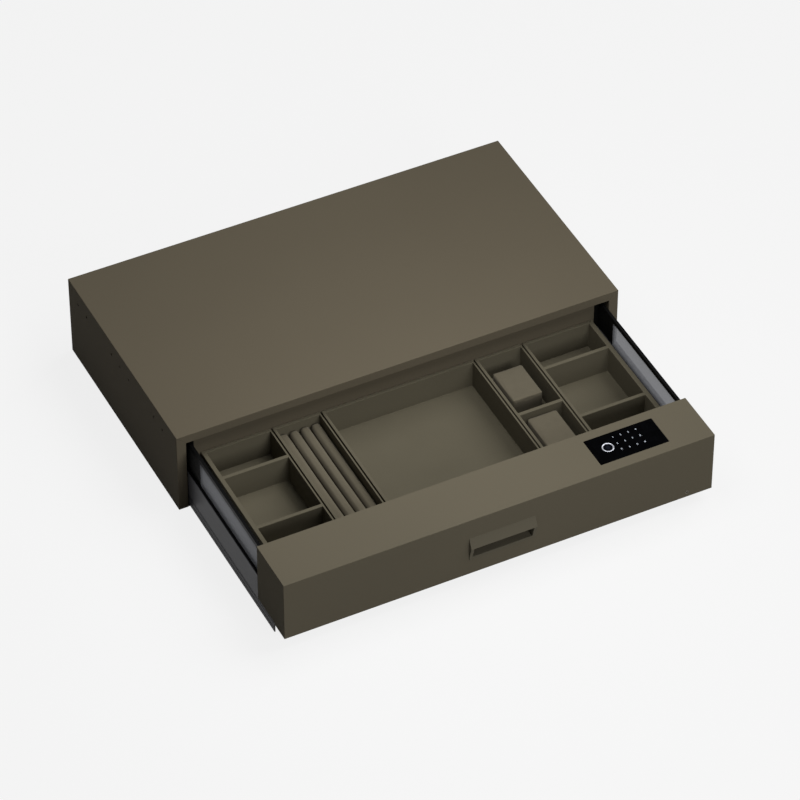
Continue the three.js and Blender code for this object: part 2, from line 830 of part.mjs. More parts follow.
// Lock: involute pinions on one cross shaft drive two racked bolts down into the strikes
function gearOutline() {
  const baseRadius = pitchRadius * Math.cos(pressureAngle);
  const tipRadius = pitchRadius + gearModule * addendumFactor;
  const rootRadius = pitchRadius - gearModule * dedendumFactor;
  const involute = (angle) => Math.tan(angle) - angle;
  const halfTooth = (Math.PI * gearModule / 2 - toothBacklash) / (2 * pitchRadius);
  const steps = 4;
  const flank = [];
  for (let i = 0; i <= steps; i += 1) {
    const radius = baseRadius + (tipRadius - baseRadius) * i / steps;
    const offset = halfTooth + involute(pressureAngle) - involute(Math.acos(baseRadius / radius));
    flank.push([radius, offset]);
  }
  flank.unshift([rootRadius, flank[0][1]]);
  const points = [];
  for (let tooth = 0; tooth < gearTeeth; tooth += 1) {
    const centre = Math.PI + 2 * Math.PI * tooth / gearTeeth;
    for (const [radius, offset] of flank) {
      points.push([radius * Math.cos(centre - offset), radius * Math.sin(centre - offset)]);
    }
    for (const [radius, offset] of flank.slice().reverse()) {
      points.push([radius * Math.cos(centre + offset), radius * Math.sin(centre + offset)]);
    }
  }
  return outline(points.map(([y, z]) => [shaftY + y, shaftZ + z]));
}

function makeLockShaft() {
  const gear = gearOutline();
  const half = pinionWidth / 2;
  const end = boltSpread + half + guideWall;
  return joined(
    rodX(shaftRadius, -end, end, shaftY, shaftZ, 12),
    alongX(gear, -boltSpread - half, -boltSpread + half),
    alongX(gear, boltSpread - half, boltSpread + half),
  );
}

function makeRightBolt() {
  const bottom = frontBottom + boltTipInset;
  const top = bottom + boltLength;
  const face = boltY + boltSize / 2;
  const rootY = rackPitchLine - gearModule * dedendumFactor;
  const pitch = Math.PI * gearModule;
  const halfGapAtPitch = (pitch / 2 + toothBacklash) / 2;
  const slope = Math.tan(pressureAngle);
  const mouth = halfGapAtPitch + (face + cutLap - rackPitchLine) * slope;
  const floor = halfGapAtPitch - (rackPitchLine - rootY) * slope;
  const gaps = [];
  const above = Math.ceil((boltTravel + pitch) / pitch);
  for (let i = -1; i <= above; i += 1) {
    const z = shaftZ + i * pitch;
    const gap = outline([
      [face + cutLap, z - mouth],
      [face + cutLap, z + mouth],
      [rootY, z + floor],
      [rootY, z - floor],
    ]);
    gaps.push(alongX(gap, boltSpread - boltSize, boltSpread + boltSize));
  }
  return cut(box(boltSpread - boltSize / 2, boltSpread + boltSize / 2,
    boltY - boltSize / 2, face, bottom, top), ...gaps);
}

function makeRightBoltGuide() {
  const channel = boltSize / 2 + boltPlay;
  const outer = boltSize / 2 + guideWall;
  const tipRadius = pitchRadius + gearModule * addendumFactor;
  const pocketHalf = tipRadius + shaftPlay;
  const pocketSide = pinionWidth / 2 + shaftPlay;
  const top = shellFloor + guideHeight;
  const rear = shaftY + guideRearWall;
  return cut(
    box(boltSpread - outer, boltSpread + outer, boltY - outer, rear, shellFloor, top),
    box(boltSpread - channel, boltSpread + channel, boltY - channel, boltY + channel,
      shellFloor - cutLap, top + cutLap),
    box(boltSpread - pocketSide, boltSpread + pocketSide, boltY, rear + cutLap,
      shaftZ - pocketHalf, shaftZ + pocketHalf),
    rodX(shaftRadius + shaftPlay, boltSpread - outer - cutLap, boltSpread + outer + cutLap,
      shaftY, shaftZ, 16),
  );
}

function makeLockMotor() {
  const front = shaftY - gearboxDepth / 2;
  const motorY = front - motorRadius * motorOverlapShare;
  const motorZ = shellFloor + motorRadius;
  const body = joined(
    box(-gearboxWidth / 2, gearboxWidth / 2, front, front + gearboxDepth,
      shellFloor, shellFloor + gearboxHeight),
    rodX(motorRadius, -motorLength / 2, motorLength / 2, motorY, motorZ, 24),
  );
  return cut(body, rodX(shaftRadius + shaftPlay, -gearboxWidth, gearboxWidth, shaftY, shaftZ, 16));
}

const controlRight = keypadLeft - keypadPlay - housingBorder - controlBoxGap;
const controlLeft = controlRight - controlBoxSize.x;

function makeControlBox() {
  return box(controlLeft, controlRight, controlBoxFrontInset,
    controlBoxFrontInset + controlBoxSize.y, shellCeiling - controlBoxSize.z, shellCeiling);
}

function makeCable(points) {
  const route = new THREE.CatmullRomCurve3(points.map((point) => new THREE.Vector3(...point)));
  const section = new THREE.Shape();
  const sides = 8;
  for (let i = 0; i < sides; i += 1) {
    const turn = 2 * Math.PI * i / sides;
    const move = i === 0 ? 'moveTo' : 'lineTo';
    section[move](cableRadius * Math.cos(turn), cableRadius * Math.sin(turn));
  }
  section.closePath();
  return new THREE.ExtrudeGeometry(section, { steps: 24, extrudePath: route, bevelEnabled: false });
}

function makeMotorCable() {
  const top = shellFloor + gearboxHeight + seatGap;
  const end = controlLeft - seatGap;
  const y = controlBoxFrontInset + controlBoxSize.y * 0.6;
  const z = shellCeiling - controlBoxSize.z * 0.6;
  return makeCable([
    [0, shaftY, top],
    [0, shaftY, top + cableLead],
    [end / 3, (shaftY + y) / 2, z - cableDip],
    [end - cableLead, y, z],
    [end, y, z],
  ]);
}

function makeBatteryCable() {
  const start = caseRight + seatGap;
  const end = controlLeft - seatGap;
  const y = controlBoxFrontInset + controlBoxSize.y * 0.25;
  const z = shellCeiling - controlBoxSize.z * 0.35;
  const caseY = plateFront - caseDepth * 0.5;
  const caseZ = caseTop - caseHeight * 0.3;
  return makeCable([
    [start, caseY, caseZ],
    [start + cableLead, caseY, caseZ],
    [(start + end) / 2, (caseY + y) / 2, z + cableRise],
    [end - cableLead, y, z],
    [end, y, z],
  ]);
}

// Assembly: the cabinet stands still, and the drawer group is drawn open by restOpening
const safe = new THREE.Group();
safe.name = 'drawer_safe';

const cabinet = new THREE.Group();
safe.add(cabinet);
place(cabinet, 'top_board', makeTopBoard(), 'olive');
placePair(cabinet, 'side_board', makeRightSideBoard(), 'olive');
place(cabinet, 'back_board', makeBackBoard(), 'olive');
place(cabinet, 'bottom_plate', makeBottomPlate(), 'oliveMetal');
placePair(cabinet, 'cabinet_runner', makeCabinetRunner(), 'steel');
placePair(cabinet, 'runner_stop', makeRunnerStop(), 'rubber');
placePair(cabinet, 'strike', makeRightStrike(), 'steel');

const middleRunners = new THREE.Group();
middleRunners.position.y = cabinetFront - restOpening / 2;
safe.add(middleRunners);
placePair(middleRunners, 'middle_runner', makeMiddleRunner(), 'steel');

const drawer = new THREE.Group();
drawer.position.y = cabinetFront - restOpening;
safe.add(drawer);
placePair(drawer, 'drawer_runner', makeDrawerRunner(), 'aluminium');
placePair(drawer, 'side_profile', makeSideProfile(), 'aluminium');
placePair(drawer, 'side_glass', makeSideGlass(), 'smokedGlass');
placePair(drawer, 'top_rail', makeTopRail(), 'blackMetal');
placePair(drawer, 'rear_bracket', makeRearBracket(), 'blackMetal');
place(drawer, 'drawer_back', makeDrawerBack(), 'olive');
place(drawer, 'base_pan', makeBasePan(), 'oliveMetal');
place(drawer, 'front_shell', makeFrontShell(), 'oliveMetal');
place(drawer, 'front_box_back', makeFrontBoxBack(), 'oliveMetal');
place(drawer, 'front_pull', makeFrontPull(), 'oliveMetal');
place(drawer, 'keypad_housing', makeKeypadHousing(), 'plastic');
place(drawer, 'keypad_glass', makeKeypadGlass(), 'blackGlass');
place(drawer, 'fingerprint_ring', makeSensorRing(), 'chrome');
place(drawer, 'fingerprint_pad', makeSensorPad(), 'blackGlass');
place(drawer, 'emergency_socket', makeSocket(), 'chrome');
place(drawer, 'control_box', makeControlBox(), 'plastic');
place(drawer, 'lock_motor', makeLockMotor(), 'plastic');
place(drawer, 'motor_cable', makeMotorCable(), 'rubber');
place(drawer, 'battery_cable', makeBatteryCable(), 'rubber');
placePair(drawer, 'bolt_guide', makeRightBoltGuide(), 'steel');
place(drawer, 'battery_case', makeBatteryCase(), 'plastic');
place(drawer, 'battery_lid', makeBatteryLid(), 'plastic');
for (let row = 0; row < cellRows; row += 1) {
  for (let column = 0; column < cellColumns; column += 1) {
    const number = row * cellColumns + column + 1;
    place(drawer, `battery_cell_${number}`, makeCell(column, row), 'cell');
  }
}
place(drawer, 'lock_shaft', makeLockShaft(), 'steel');
placePair(drawer, 'lock_bolt', makeRightBolt(), 'steel');

// Trays from left to right: each has its wide wall on the left, and the right tray has two
const endTrayInner = traySpan - endTrayWidth;
const narrowOuter = endTrayInner - trayGap;
const narrowInner = narrowOuter - narrowTrayWidth;
const centreHalf = narrowInner - trayGap;
const endTrayMiddleCell = trayLength - 4 * crossWall - endTrayFrontCell - endTrayRearCell;
const endCells = [endTrayFrontCell, endTrayMiddleCell];
const leftTray = makeTray(-traySpan, -endTrayInner, endCells, outerLeftWall);
place(drawer, 'left_tray', leftTray, 'liner');
place(drawer, 'ring_tray', makeTray(-narrowOuter, -narrowInner, []), 'liner');
place(drawer, 'centre_tray', makeTray(-centreHalf, centreHalf, []), 'liner');
place(drawer, 'watch_tray', makeTray(narrowInner, narrowOuter, [watchTrayFrontCell]), 'liner');
const rightTrayEnd = traySpan + rightTrayReach;
const rightTray = makeTray(endTrayInner, rightTrayEnd, endCells, trayLeftWall, outerRightWall);
place(drawer, 'right_tray', rightTray, 'liner');

const rollLeft = -narrowOuter + trayLeftWall + seatGap;
const rollPitch = (narrowTrayWidth - trayLeftWall - trayRightWall - 2 * seatGap) / ringRollCount;
for (let i = 0; i < ringRollCount; i += 1) {
  const x0 = rollLeft + i * rollPitch;
  place(drawer, `ring_roll_${i + 1}`, makeRingRoll(x0, x0 + rollPitch), 'velvet');
}

const pillowX = (narrowInner + trayLeftWall + narrowOuter - trayRightWall) / 2;
const watchCrossWall = trayFront + crossWall + watchTrayFrontCell;
const rearCellLength = trayLength - 3 * crossWall - watchTrayFrontCell;
const rearPillowBackGap = (rearCellLength - pillowLength) * rearPillowBackShare;
const rearPillowEdge = trayBack - crossWall - rearPillowBackGap;
const frontPillowEdge = watchCrossWall - frontPillowBackGap;
place(drawer, 'rear_watch_pillow', makePillow(pillowX, rearPillowEdge), 'velvet');
place(drawer, 'front_watch_pillow', makePillow(pillowX, frontPillowEdge), 'velvet');

export default safe;
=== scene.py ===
"""Looks for the under-desk drawer safe: lacquered cabinet, coated front box, smoked-glass
drawer sides, lined trays, ring rolls and watch pillows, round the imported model."""

import functools
import math

import bpy
from bpy.props import FloatProperty, FloatVectorProperty, PointerProperty
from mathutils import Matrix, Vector


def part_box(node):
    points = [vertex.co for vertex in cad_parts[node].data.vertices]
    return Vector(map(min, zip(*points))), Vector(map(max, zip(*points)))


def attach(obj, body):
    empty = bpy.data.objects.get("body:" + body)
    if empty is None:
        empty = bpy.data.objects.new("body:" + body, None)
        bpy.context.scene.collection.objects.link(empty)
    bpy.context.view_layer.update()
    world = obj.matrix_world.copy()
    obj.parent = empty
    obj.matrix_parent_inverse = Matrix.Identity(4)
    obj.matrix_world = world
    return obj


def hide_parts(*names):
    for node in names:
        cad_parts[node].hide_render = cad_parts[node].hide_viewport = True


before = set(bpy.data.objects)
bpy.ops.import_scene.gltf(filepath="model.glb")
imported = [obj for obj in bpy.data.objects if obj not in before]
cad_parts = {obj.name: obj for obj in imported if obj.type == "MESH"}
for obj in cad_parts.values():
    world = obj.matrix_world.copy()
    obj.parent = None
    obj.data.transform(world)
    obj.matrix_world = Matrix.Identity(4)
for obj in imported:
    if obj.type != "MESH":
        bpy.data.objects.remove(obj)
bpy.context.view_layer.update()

bl_info = {
    "name": "Under-desk drawer safe",
    "version": (1, 0, 0),
    "blender": (4, 5, 0),
    "location": "View3D > Sidebar > Safe",
    "description": "Builds the visible pieces and finishes of a drawer safe round its CAD model",
    "category": "Object",
}

MM = 0.001
WELD = 1e-6
SHARP_ANGLE = math.radians(28.0)
FLAT_ANGLE = math.radians(0.5)
FINE_TURN = 96
SIDES = {"left": -1, "right": 1}

# The photograph's camera, in the row frame
CAMERA_PLACE = Vector((-2.7044, -5.6453, 5.6993))
CAMERA_AIM = Vector((0.3273575, 0.6557217, -0.6803427))
CAMERA_LENS = 211.0
SENSOR_WIDTH = 36.0
VIEW_LIMIT = 60.0

# The lamps, which all face the middle of the stage, and the floor
STAGE_MIDDLE = Vector((0.0, -0.2, 0.1))
KEY_PLACE = STAGE_MIDDLE + Vector((7.0, 0.0, 9.7))
KEY_SIDE = 9.0
NEAR_PLACE = Vector((0.0, -0.46, 0.98))
NEAR_SIDE = 0.5
FRONT_PLACE = STAGE_MIDDLE + Vector((0.4, -3.56, 1.8))
FRONT_SIDE = 1.6
FLOOR_SIDE = 40.0
FLOOR_DROP = 0.0004

# The back board's screws
SCREW_SINK = 1.6 * MM
SCREW_SHOULDER = 0.2 * MM
SCREW_CROWN = 0.35 * MM
SCREW_RECESS = 0.9 * MM
SCREW_FROM_SIDE = 14 * MM
SCREW_FROM_EDGE = 24 * MM
INNER_SCREWS = 0.34

# The drawer's sides; the ribs stop short of the bracket's rear by their face's value
BEAD_HEIGHTS = (0.36, 0.79)
PROFILE_LIP = 1.5 * MM
GASKET_EDGE = 0.8 * MM
RIB_CLEARANCE = 0.4 * MM
OUTER_RIB_STOP = 2 * MM
INNER_RIB_STOP = 12 * MM

# The keypad: sizes of glyphs are shares of the digits' height
DIGITS_FROM_RING = 8.6 * MM
DIGITS_FROM_BACK = 12.2 * MM
GLYPH_SIZE = 1.35
STAR_SIZE = 2.2
GLYPH_WEIGHT = 0.018
GLYPH_LIFT = 0.02 * MM
RING_INSET = 0.4 * MM
RING_WIDTH = 1.8 * MM
RING_SEAT = 0.02 * MM
PAD_SEAT = 0.04 * MM

# Sections from the outside in: shares of the ring's width or the pad's radius, and of the rise
RING_SECTION = ((0, 0), (0, 0.35), (0.1, 0.75), (0.3, 1), (0.6, 1), (0.85, 0.7), (1, 0.2))
PAD_SECTION = ((1, 0.6), (0.97, 1), (0.86, 0.96), (0.6, 0.8), (0.3, 0.7))

# The front socket
SOCKET_BARREL = 2.6 * MM
SOCKET_RISE = 0.8 * MM
SOCKET_DEPTH = 2.5 * MM
SOCKET_PIN = 0.4 * MM

# The battery lid's grip
GRIP_RIDGES = 4
GRIP_FROM_TOP = 4 * MM
GRIP_STEP = 2.4 * MM
GRIP_REACH = 9 * MM
GRIP_HALF = 0.6 * MM
GRIP_RISE = 0.7 * MM
GRIP_EDGE = 0.4 * MM
LID_FACE = 2 * MM

# The padded pieces: how far a ring roll is drawn in, and the cloth that swells them
ROLL_SHARES = (0.84, 0.995, 0.985)
CLOTH_FRAMES = 20
CLOTH = {
    "quality": 6,
    "mass": 0.15,
    "tension_stiffness": 12.0,
    "compression_stiffness": 12.0,
    "shear_stiffness": 4.0,
    "bending_stiffness": 0.4,
    "use_pressure": True,
    "uniform_pressure_force": 4.0,
}


def length(name, description, millimetres):
    """A size property, given in millimetres and stored in metres."""
    return FloatProperty(
        name=name,
        description=description,
        default=millimetres * MM,
        min=0.0,
        precision=5,
        subtype="DISTANCE",
        unit="LENGTH",
    )


def shade(name, description, red, green, blue):
    """A colour property, given as display values from 0 to 255."""
    return FloatVectorProperty(
        name=name,
        description=description,
        default=(red / 255, green / 255, blue / 255),
        size=3,
        min=0.0,
        max=1.0,
        subtype="COLOR_GAMMA",
    )


class SafeSizes(bpy.types.PropertyGroup):
    """Sizes of the details that the visible pieces add to the model."""

    board_edge: length("Board edge", "Rounding of the cabinet boards' edges", 0.9)
    sheet_edge: length("Sheet edge", "Rounding of the folded front box's edges", 0.6)
    trim_edge: length("Trim edge", "Rounding of rails, profiles and brackets", 0.25)
    pull_edge: length("Pull edge", "Rounding of the front pull's edges", 0.4)
    tray_edge: length("Tray edge", "Rounding of the lined trays' rims and corners", 0.7)
    fitting_edge: length("Fitting edge", "Rounding of lock and runner fittings", 0.3)
    gasket_drop: length("Gasket drop", "Gasket top below the profile's top", 1.2)
    rib_pitch: length("Rib pitch", "Step between the rear bracket's ribs", 4.0)
    rib_width: length("Rib width", "Width of one rib of the rear bracket", 1.8)
    rib_height: length("Rib height", "How far a rib stands proud of the bracket", 0.6)
    pillow_edge: length("Pillow edge", "Rounding of the watch pillows' rear upright edges", 5.0)
    pillow_rim: length("Pillow rim", "Rounding of the pillows' top and bottom edges", 0.6)
    bead_width: length("Bead width", "Width of the rolled beads along the runner", 1.2)
    bead_height: length("Bead height", "How far the runner's beads stand proud", 0.35)
    runner_nose: length("Runner nose", "Rounding of the runner cover's front corners", 2.5)
    digit_height: length("Digit height", "Height of the keypad's digits", 4.1)
    digit_pitch_x: length("Digit pitch across", "Step between the digits' columns", 14.85)
    digit_pitch_y: length("Digit pitch along", "Step between the digits' rows", 17.1)
    screw_radius: length("Screw radius", "Radius of a countersunk screw head", 4.0)
    roll_cell: length("Roll cell", "Mesh size of the ring rolls before swelling", 3.0)
    roll_swell: length("Roll swell", "Furthest that a ring roll's surface may move", 0.9)
    pillow_cell: length("Pillow cell", "Mesh size of the pillows before swelling", 1.6)
    pillow_inset: length("Pillow inset", "How much smaller a pillow starts on each side", 0.3)
    pillow_swell: length("Pillow swell", "Furthest that a pillow's surface may move", 0.6)


class SafeColours(bpy.types.PropertyGroup):
    """Colours of the finishes."""

    lacquer: shade("Lacquer", "Matt lacquer on the cabinet boards", 98, 91, 77)
    coat: shade("Coat", "Powder coat on the front box and the base", 100, 94, 80)
    pull: shade("Pull", "Paint on the front pull", 96, 91, 78)
    liner: shade("Liner", "Lining of the trays", 95, 90, 76)
    suede: shade("Suede", "Suede-like cover of the rolls and pillows", 98, 92, 78)
    profile: shade("Profile", "Anodised drawer-side profile", 66, 66, 68)
    runner: shade("Runner", "Satin runner cover", 58, 58, 60)
    glass: shade("Glass", "Tint of the smoked glass", 40, 41, 43)
    rail: shade("Rail", "Gloss black top rail", 10, 10, 10)
    bracket: shade("Bracket", "Black bracket moulding", 13, 13, 12)
    digits: shade("Digits", "Print of the keypad's digits", 186, 192, 202)
    floor: shade("Floor", "Studio floor and backdrop", 247, 247, 247)


class SafeLight(bpy.types.PropertyGroup):
    """Strengths of the studio light."""

    key_power: FloatProperty(
        name="Key", description="Power of the large far lamp", default=900.0, unit="POWER"
    )
    near_power: FloatProperty(
        name="Near", description="Power of the lamp above the drawer", default=4.0, unit="POWER"
    )
    front_power: FloatProperty(
        name="Front", description="Power of the lamp high in front", default=54.0, unit="POWER"
    )
    bounce: FloatProperty(
        name="Bounce",
        description="Share of the light that the floor throws back on the object",
        default=0.33,
        min=0.0,
        max=1.0,
        subtype="FACTOR",
    )
    ambient: FloatProperty(
        name="Ambient", description="Share of light from all round", default=0.07, min=0.0
    )
    shadow_share: FloatProperty(
        name="Floor shadow",
        description="How far the floor shows the object's shadow",
        default=0.1,
        min=0.0,
        max=1.0,
        subtype="FACTOR",
    )


def linear(colour):
    """Scene-linear values of a display colour, with an opaque alpha."""
    low = [c / 12.92 if c <= 0.04045 else ((c + 0.055) / 1.055) ** 2.4 for c in colour]
    return (*low, 1.0)


def tint(name):
    """Scene-linear value of one of the colour properties."""
    return linear(getattr(bpy.context.scene.safe_colours, name))


# Shader maths


class Signal:
    """One output socket of a material, with the arithmetic that the finishes use."""

    def __init__(self, finish, socket):
        self.finish = finish
        self.socket = socket

    def math(self, operation, first, second=0.0):
        return self.finish.node("Math", {"operation": operation}, {0: first, 1: second})

    def __add__(self, other):
        return self.math("ADD", self, other)

    def __radd__(self, other):
        return self.math("ADD", other, self)

    def __sub__(self, other):
        return self.math("SUBTRACT", self, other)

    def __rsub__(self, other):
        return self.math("SUBTRACT", other, self)

    def __mul__(self, other):
        return self.math("MULTIPLY", self, other)

    def __rmul__(self, other):
        return self.math("MULTIPLY", other, self)

    def __gt__(self, other):
        return self.math("GREATER_THAN", self, other)

    def __lt__(self, other):
        return self.math("LESS_THAN", self, other)


class Finish:
    """A material under construction: one Principled shader and the nodes that feed it."""

    def __init__(self, name, tree_owner=None):
        self.material = tree_owner or bpy.data.materials.new(name)
        self.material.use_nodes = True
        self.tree = self.material.node_tree
        self.tree.nodes.clear()

    def node(self, kind, settings=None, inputs=None, output=0):
        made = self.tree.nodes.new("ShaderNode" + kind)
        for key, value in (settings or {}).items():
            if key == "stops":
                self.set_stops(made.color_ramp, value)
            else:
                setattr(made, key, value)
        for key, value in (inputs or {}).items():
            self.feed(made.inputs[key], value)
        return Signal(self, made.outputs[output]) if made.outputs else None

    def feed(self, socket, value):
        if isinstance(value, Signal):
            self.tree.links.new(value.socket, socket)
        else:
            socket.default_value = value

    def set_stops(self, ramp, stops):
        while len(ramp.elements) < len(stops):
            ramp.elements.new(0.5)
        for element, (place, colour) in zip(ramp.elements, stops):
            element.position = place
            element.color = colour

    def ramp(self, factor, *stops):
        """A number that follows (place, level) stops as the factor rises."""
        colours = [(place, (level, level, level, 1.0)) for place, level in stops]
        return self.node("ValToRGB", {"stops": colours}, {0: factor})

    def place(self, stretch=(1.0, 1.0, 1.0)):
        """The piece's own coordinates, squeezed along each axis by the stretch."""
        own = self.node("TexCoord", output="Object")
        return self.node("Mapping", {}, {"Vector": own, "Scale": stretch})

    def noise(self, scale, detail=2.0, roughness=0.5, stretch=(1.0, 1.0, 1.0)):
        inputs = {
            "Vector": self.place(stretch),
            "Scale": scale,
            "Detail": detail,
            "Roughness": roughness,
        }
        return self.node("TexNoise", {}, inputs)

    def cells(self, scale, feature="F1"):
        inputs = {"Vector": self.place(), "Scale": scale}
        return self.node("TexVoronoi", {"feature": feature}, inputs, "Distance")

    def mix(self, factor, first, second):
        """A colour between two colours."""
        settings = {"data_type": "RGBA"}
        return self.node("Mix", settings, {0: factor, 6: first, 7: second}, 2)

    def swing(self, colour, spread, factor):
        """A colour that goes from darker to lighter by the spread as the factor rises."""
        dark = (*[c * (1 - spread) for c in colour[:3]], 1.0)
        light = (*[c * (1 + spread) for c in colour[:3]], 1.0)
        return self.mix(factor, dark, light)

    def bump(self, height, strength, distance):
        inputs = {"Strength": strength, "Distance": distance, "Height": height}
        return self.node("Bump", {}, inputs)

    def shader(self, inputs):
        made = self.node("BsdfPrincipled", {}, inputs)
        self.node("OutputMaterial", {}, {"Surface": made})
        return self.material


# Finishes: each material is built once, and pieces share it


def coated(name, colour, grain, roughness, specular, depth):
    """Paint on board or sheet: faint clouding, a fine speckle and an even texture."""
    finish = Finish(name)
    clouds = finish.noise(3.0, 2.0)
    speckle = finish.noise(grain * 1.7, 3.0, 0.6)
    texture = finish.noise(grain, 4.0, 0.65)
    blend = clouds * 0.6 + speckle * 0.4
    return finish.shader({
        "Base Color": finish.swing(colour, 0.09, blend),
        "Roughness": roughness + (texture - 0.5) * 0.16,
        "Specular IOR Level": specular,
        "Normal": finish.bump(texture, 0.35, depth),
    })


@functools.cache
def cabinet_lacquer():
    colour = tint("lacquer")
    return coated(
        "cabinet_lacquer", colour, grain=420.0, roughness=0.52, specular=0.005, depth=0.00003
    )


@functools.cache
def olive_sheet():
    colour = tint("coat")
    return coated(
        "olive_sheet", colour, grain=1500.0, roughness=0.55, specular=0.005, depth=0.00006
    )


@functools.cache
def pull_paint():
    colour = tint("pull")
    return coated("pull_paint", colour, grain=1100.0, roughness=0.5, specular=0.02, depth=0.00005)


def brushed(name, colour, metallic, roughness, along, specular=0.5):
    """Metal with fine drawn lines along one axis, smoked by slow changes of tone."""
    finish = Finish(name)
    stretch = [1.0, 1.0, 1.0]
    stretch[along] = 0.012
    lines = finish.noise(2600.0, 3.0, 0.7, stretch)
    clouds = finish.noise(9.0, 2.0)
    return finish.shader({
        "Base Color": finish.swing(colour, 0.16, lines * 0.6 + clouds * 0.4),
        "Metallic": metallic,
        "Roughness": roughness + (lines - 0.5) * 0.24,
        "Specular IOR Level": specular,
        "Normal": finish.bump(lines, 0.18, 0.00002),
    })


@functools.cache
def grey_profile():
    colour = tint("profile")
    return brushed("grey_profile", colour, metallic=0.15, roughness=0.45, along=1, specular=0.06)


@functools.cache
def grey_runner_cover():
    colour = tint("runner")
    return brushed(
        "grey_runner_cover", colour, metallic=0.1, roughness=0.45, along=1, specular=0.04
    )


@functools.cache
def runner_steel():
    """Zinc plate: soft spangles over faint drawn lines."""
    finish = Finish("runner_steel")
    spangle = finish.cells(160.0)
    lines = finish.noise(2200.0, 2.0, 0.6, (1.0, 0.02, 1.0))
    blend = spangle * 0.5 + lines * 0.5
    return finish.shader({
        "Base Color": finish.swing(linear((0.62, 0.63, 0.65)), 0.12, blend),
        "Metallic": 1.0,
        "Roughness": 0.3 + spangle * 0.2,
        "Normal": finish.bump(lines, 0.12, 0.00002),
    })


@functools.cache
def lock_steel():
    colour = linear((0.6, 0.61, 0.62))
    return brushed("lock_steel", colour, metallic=1.0, roughness=0.32, along=2)


@functools.cache
def smoked_glass():
    """Thin satin smoked glass: part of the light goes straight through each face, and part
    is spread as it goes through."""
    finish = Finish("smoked_glass")
    smears = finish.noise(26.0, 3.0, 0.6)
    face = finish.node("BsdfPrincipled", {}, {
        "Base Color": finish.swing(tint("glass"), 0.1, smears),
        "Roughness": 0.3 + smears * 0.06,
        "Specular IOR Level": 0.2,
        "Alpha": 0.42 + smears * 0.03,
    })
    spread = finish.node("BsdfTranslucent", {}, {"Color": (0.28, 0.285, 0.3, 1.0)})
    both = finish.node("MixShader", {}, {0: 0.5, 1: face, 2: spread})
    finish.node("OutputMaterial", {}, {"Surface": both})
    return finish.material


@functools.cache
def black_rail():
    """Gloss black anodising with a faint drawn grain."""
    finish = Finish("black_rail")
    lines = finish.noise(2400.0, 2.0, 0.6, (1.0, 0.01, 1.0))
    return finish.shader({
        "Base Color": finish.swing(tint("rail"), 0.3, lines),
        "Roughness": 0.32 + lines * 0.12,
        "Specular IOR Level": 0.03,
        "Normal": finish.bump(lines, 0.08, 0.00002),
    })


def moulded(name, colour, grain, roughness, specular=0.3):
    """Moulded plastic or rubber with a spark-eroded grain."""
    finish = Finish(name)
    pits = finish.cells(grain)
    clouds = finish.noise(30.0, 3.0)
    return finish.shader({
        "Base Color": finish.swing(colour, 0.18, pits * 0.5 + clouds * 0.5),
        "Roughness": roughness + (clouds - 0.5) * 0.15,
        "Specular IOR Level": specular,
        "Normal": finish.bump(pits, 0.22, 0.00005),
    })


@functools.cache
def black_bracket():
    return moulded("black_bracket", tint("bracket"), grain=1500.0, roughness=0.5, specular=0.08)


@functools.cache
def black_plastic():
    colour = linear((0.07, 0.07, 0.075))
    return moulded("black_plastic", colour, grain=1400.0, roughness=0.55)


@functools.cache
def lid_plastic():
    colour = linear((0.2, 0.19, 0.165))
    return moulded("lid_plastic", colour, grain=1300.0, roughness=0.6)


@functools.cache
def black_rubber():
    colour = linear((0.045, 0.045, 0.045))
    return moulded("black_rubber", colour, grain=900.0, roughness=0.8, specular=0.05)


@functools.cache
def cable_rubber():
    colour = linear((0.07, 0.07, 0.075))
    return moulded("cable_rubber", colour, grain=700.0, roughness=0.65, specular=0.2)


@functools.cache
def black_glass():
    """Black keypad glass with the faint smears that fingers leave."""
    finish = Finish("black_glass")
    smears = finish.noise(70.0, 4.0, 0.7)
    marks = finish.ramp(smears, (0.48, 0.0), (0.72, 1.0))
    return finish.shader({
        "Base Color": finish.mix(marks, (0.0003, 0.0004, 0.0006, 1), (0.0012, 0.0014, 0.002, 1)),
        "Roughness": 0.04 + marks * 0.12,
        "Specular IOR Level": 0.01,
    })


@functools.cache
def sensor_glass():
    """Gloss black sensor face with fine ridges round a small oval."""
    finish = Finish("sensor_glass")
    low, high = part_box("fingerprint_pad")
    centre = (low + high) / 2
    own = finish.node("TexCoord", output="Object")
    slim = 0.72
    shift = (-centre.x, -centre.y * slim, 0)
    oval = finish.node("Mapping", {}, {"Vector": own, "Location": shift, "Scale": (1, slim, 0)})
    far = finish.node("VectorMath", {"operation": "LENGTH"}, {0: oval}, "Value")
    ridges = finish.node("Math", {"operation": "SINE"}, {0: far * 9000.0}) * 0.5 + 0.5
    inside = far < 0.0036
    lit = ridges * inside * 0.6 + inside * 0.15
    return finish.shader({
        "Base Color": finish.mix(lit, (0.0012, 0.0014, 0.003, 1), (0.012, 0.014, 0.022, 1)),
        "Roughness": 0.08 + lit * 0.3,
        "Specular IOR Level": 0.015,
        "Normal": finish.bump(lit, 0.2, 0.00003),
    })


@functools.cache
def digit_print():
    """Light screen print with slightly uneven ink."""
    finish = Finish("digit_print")
    ink = finish.noise(3000.0, 2.0)
    return finish.shader({
        "Base Color": finish.swing(tint("digits"), 0.12, ink),
        "Roughness": 0.5 + ink * 0.1,
        "Specular IOR Level": 0.1,
    })


@functools.cache
def bright_chrome():
    """Polished chrome with hair-fine turning lines."""
    finish = Finish("bright_chrome")
    haze = finish.noise(300.0, 3.0, 0.6)
    return finish.shader({
        "Base Color": finish.swing(linear((0.74, 0.75, 0.78)), 0.08, haze),
        "Metallic": 1.0,
        "Roughness": 0.14 + haze * 0.1,
    })


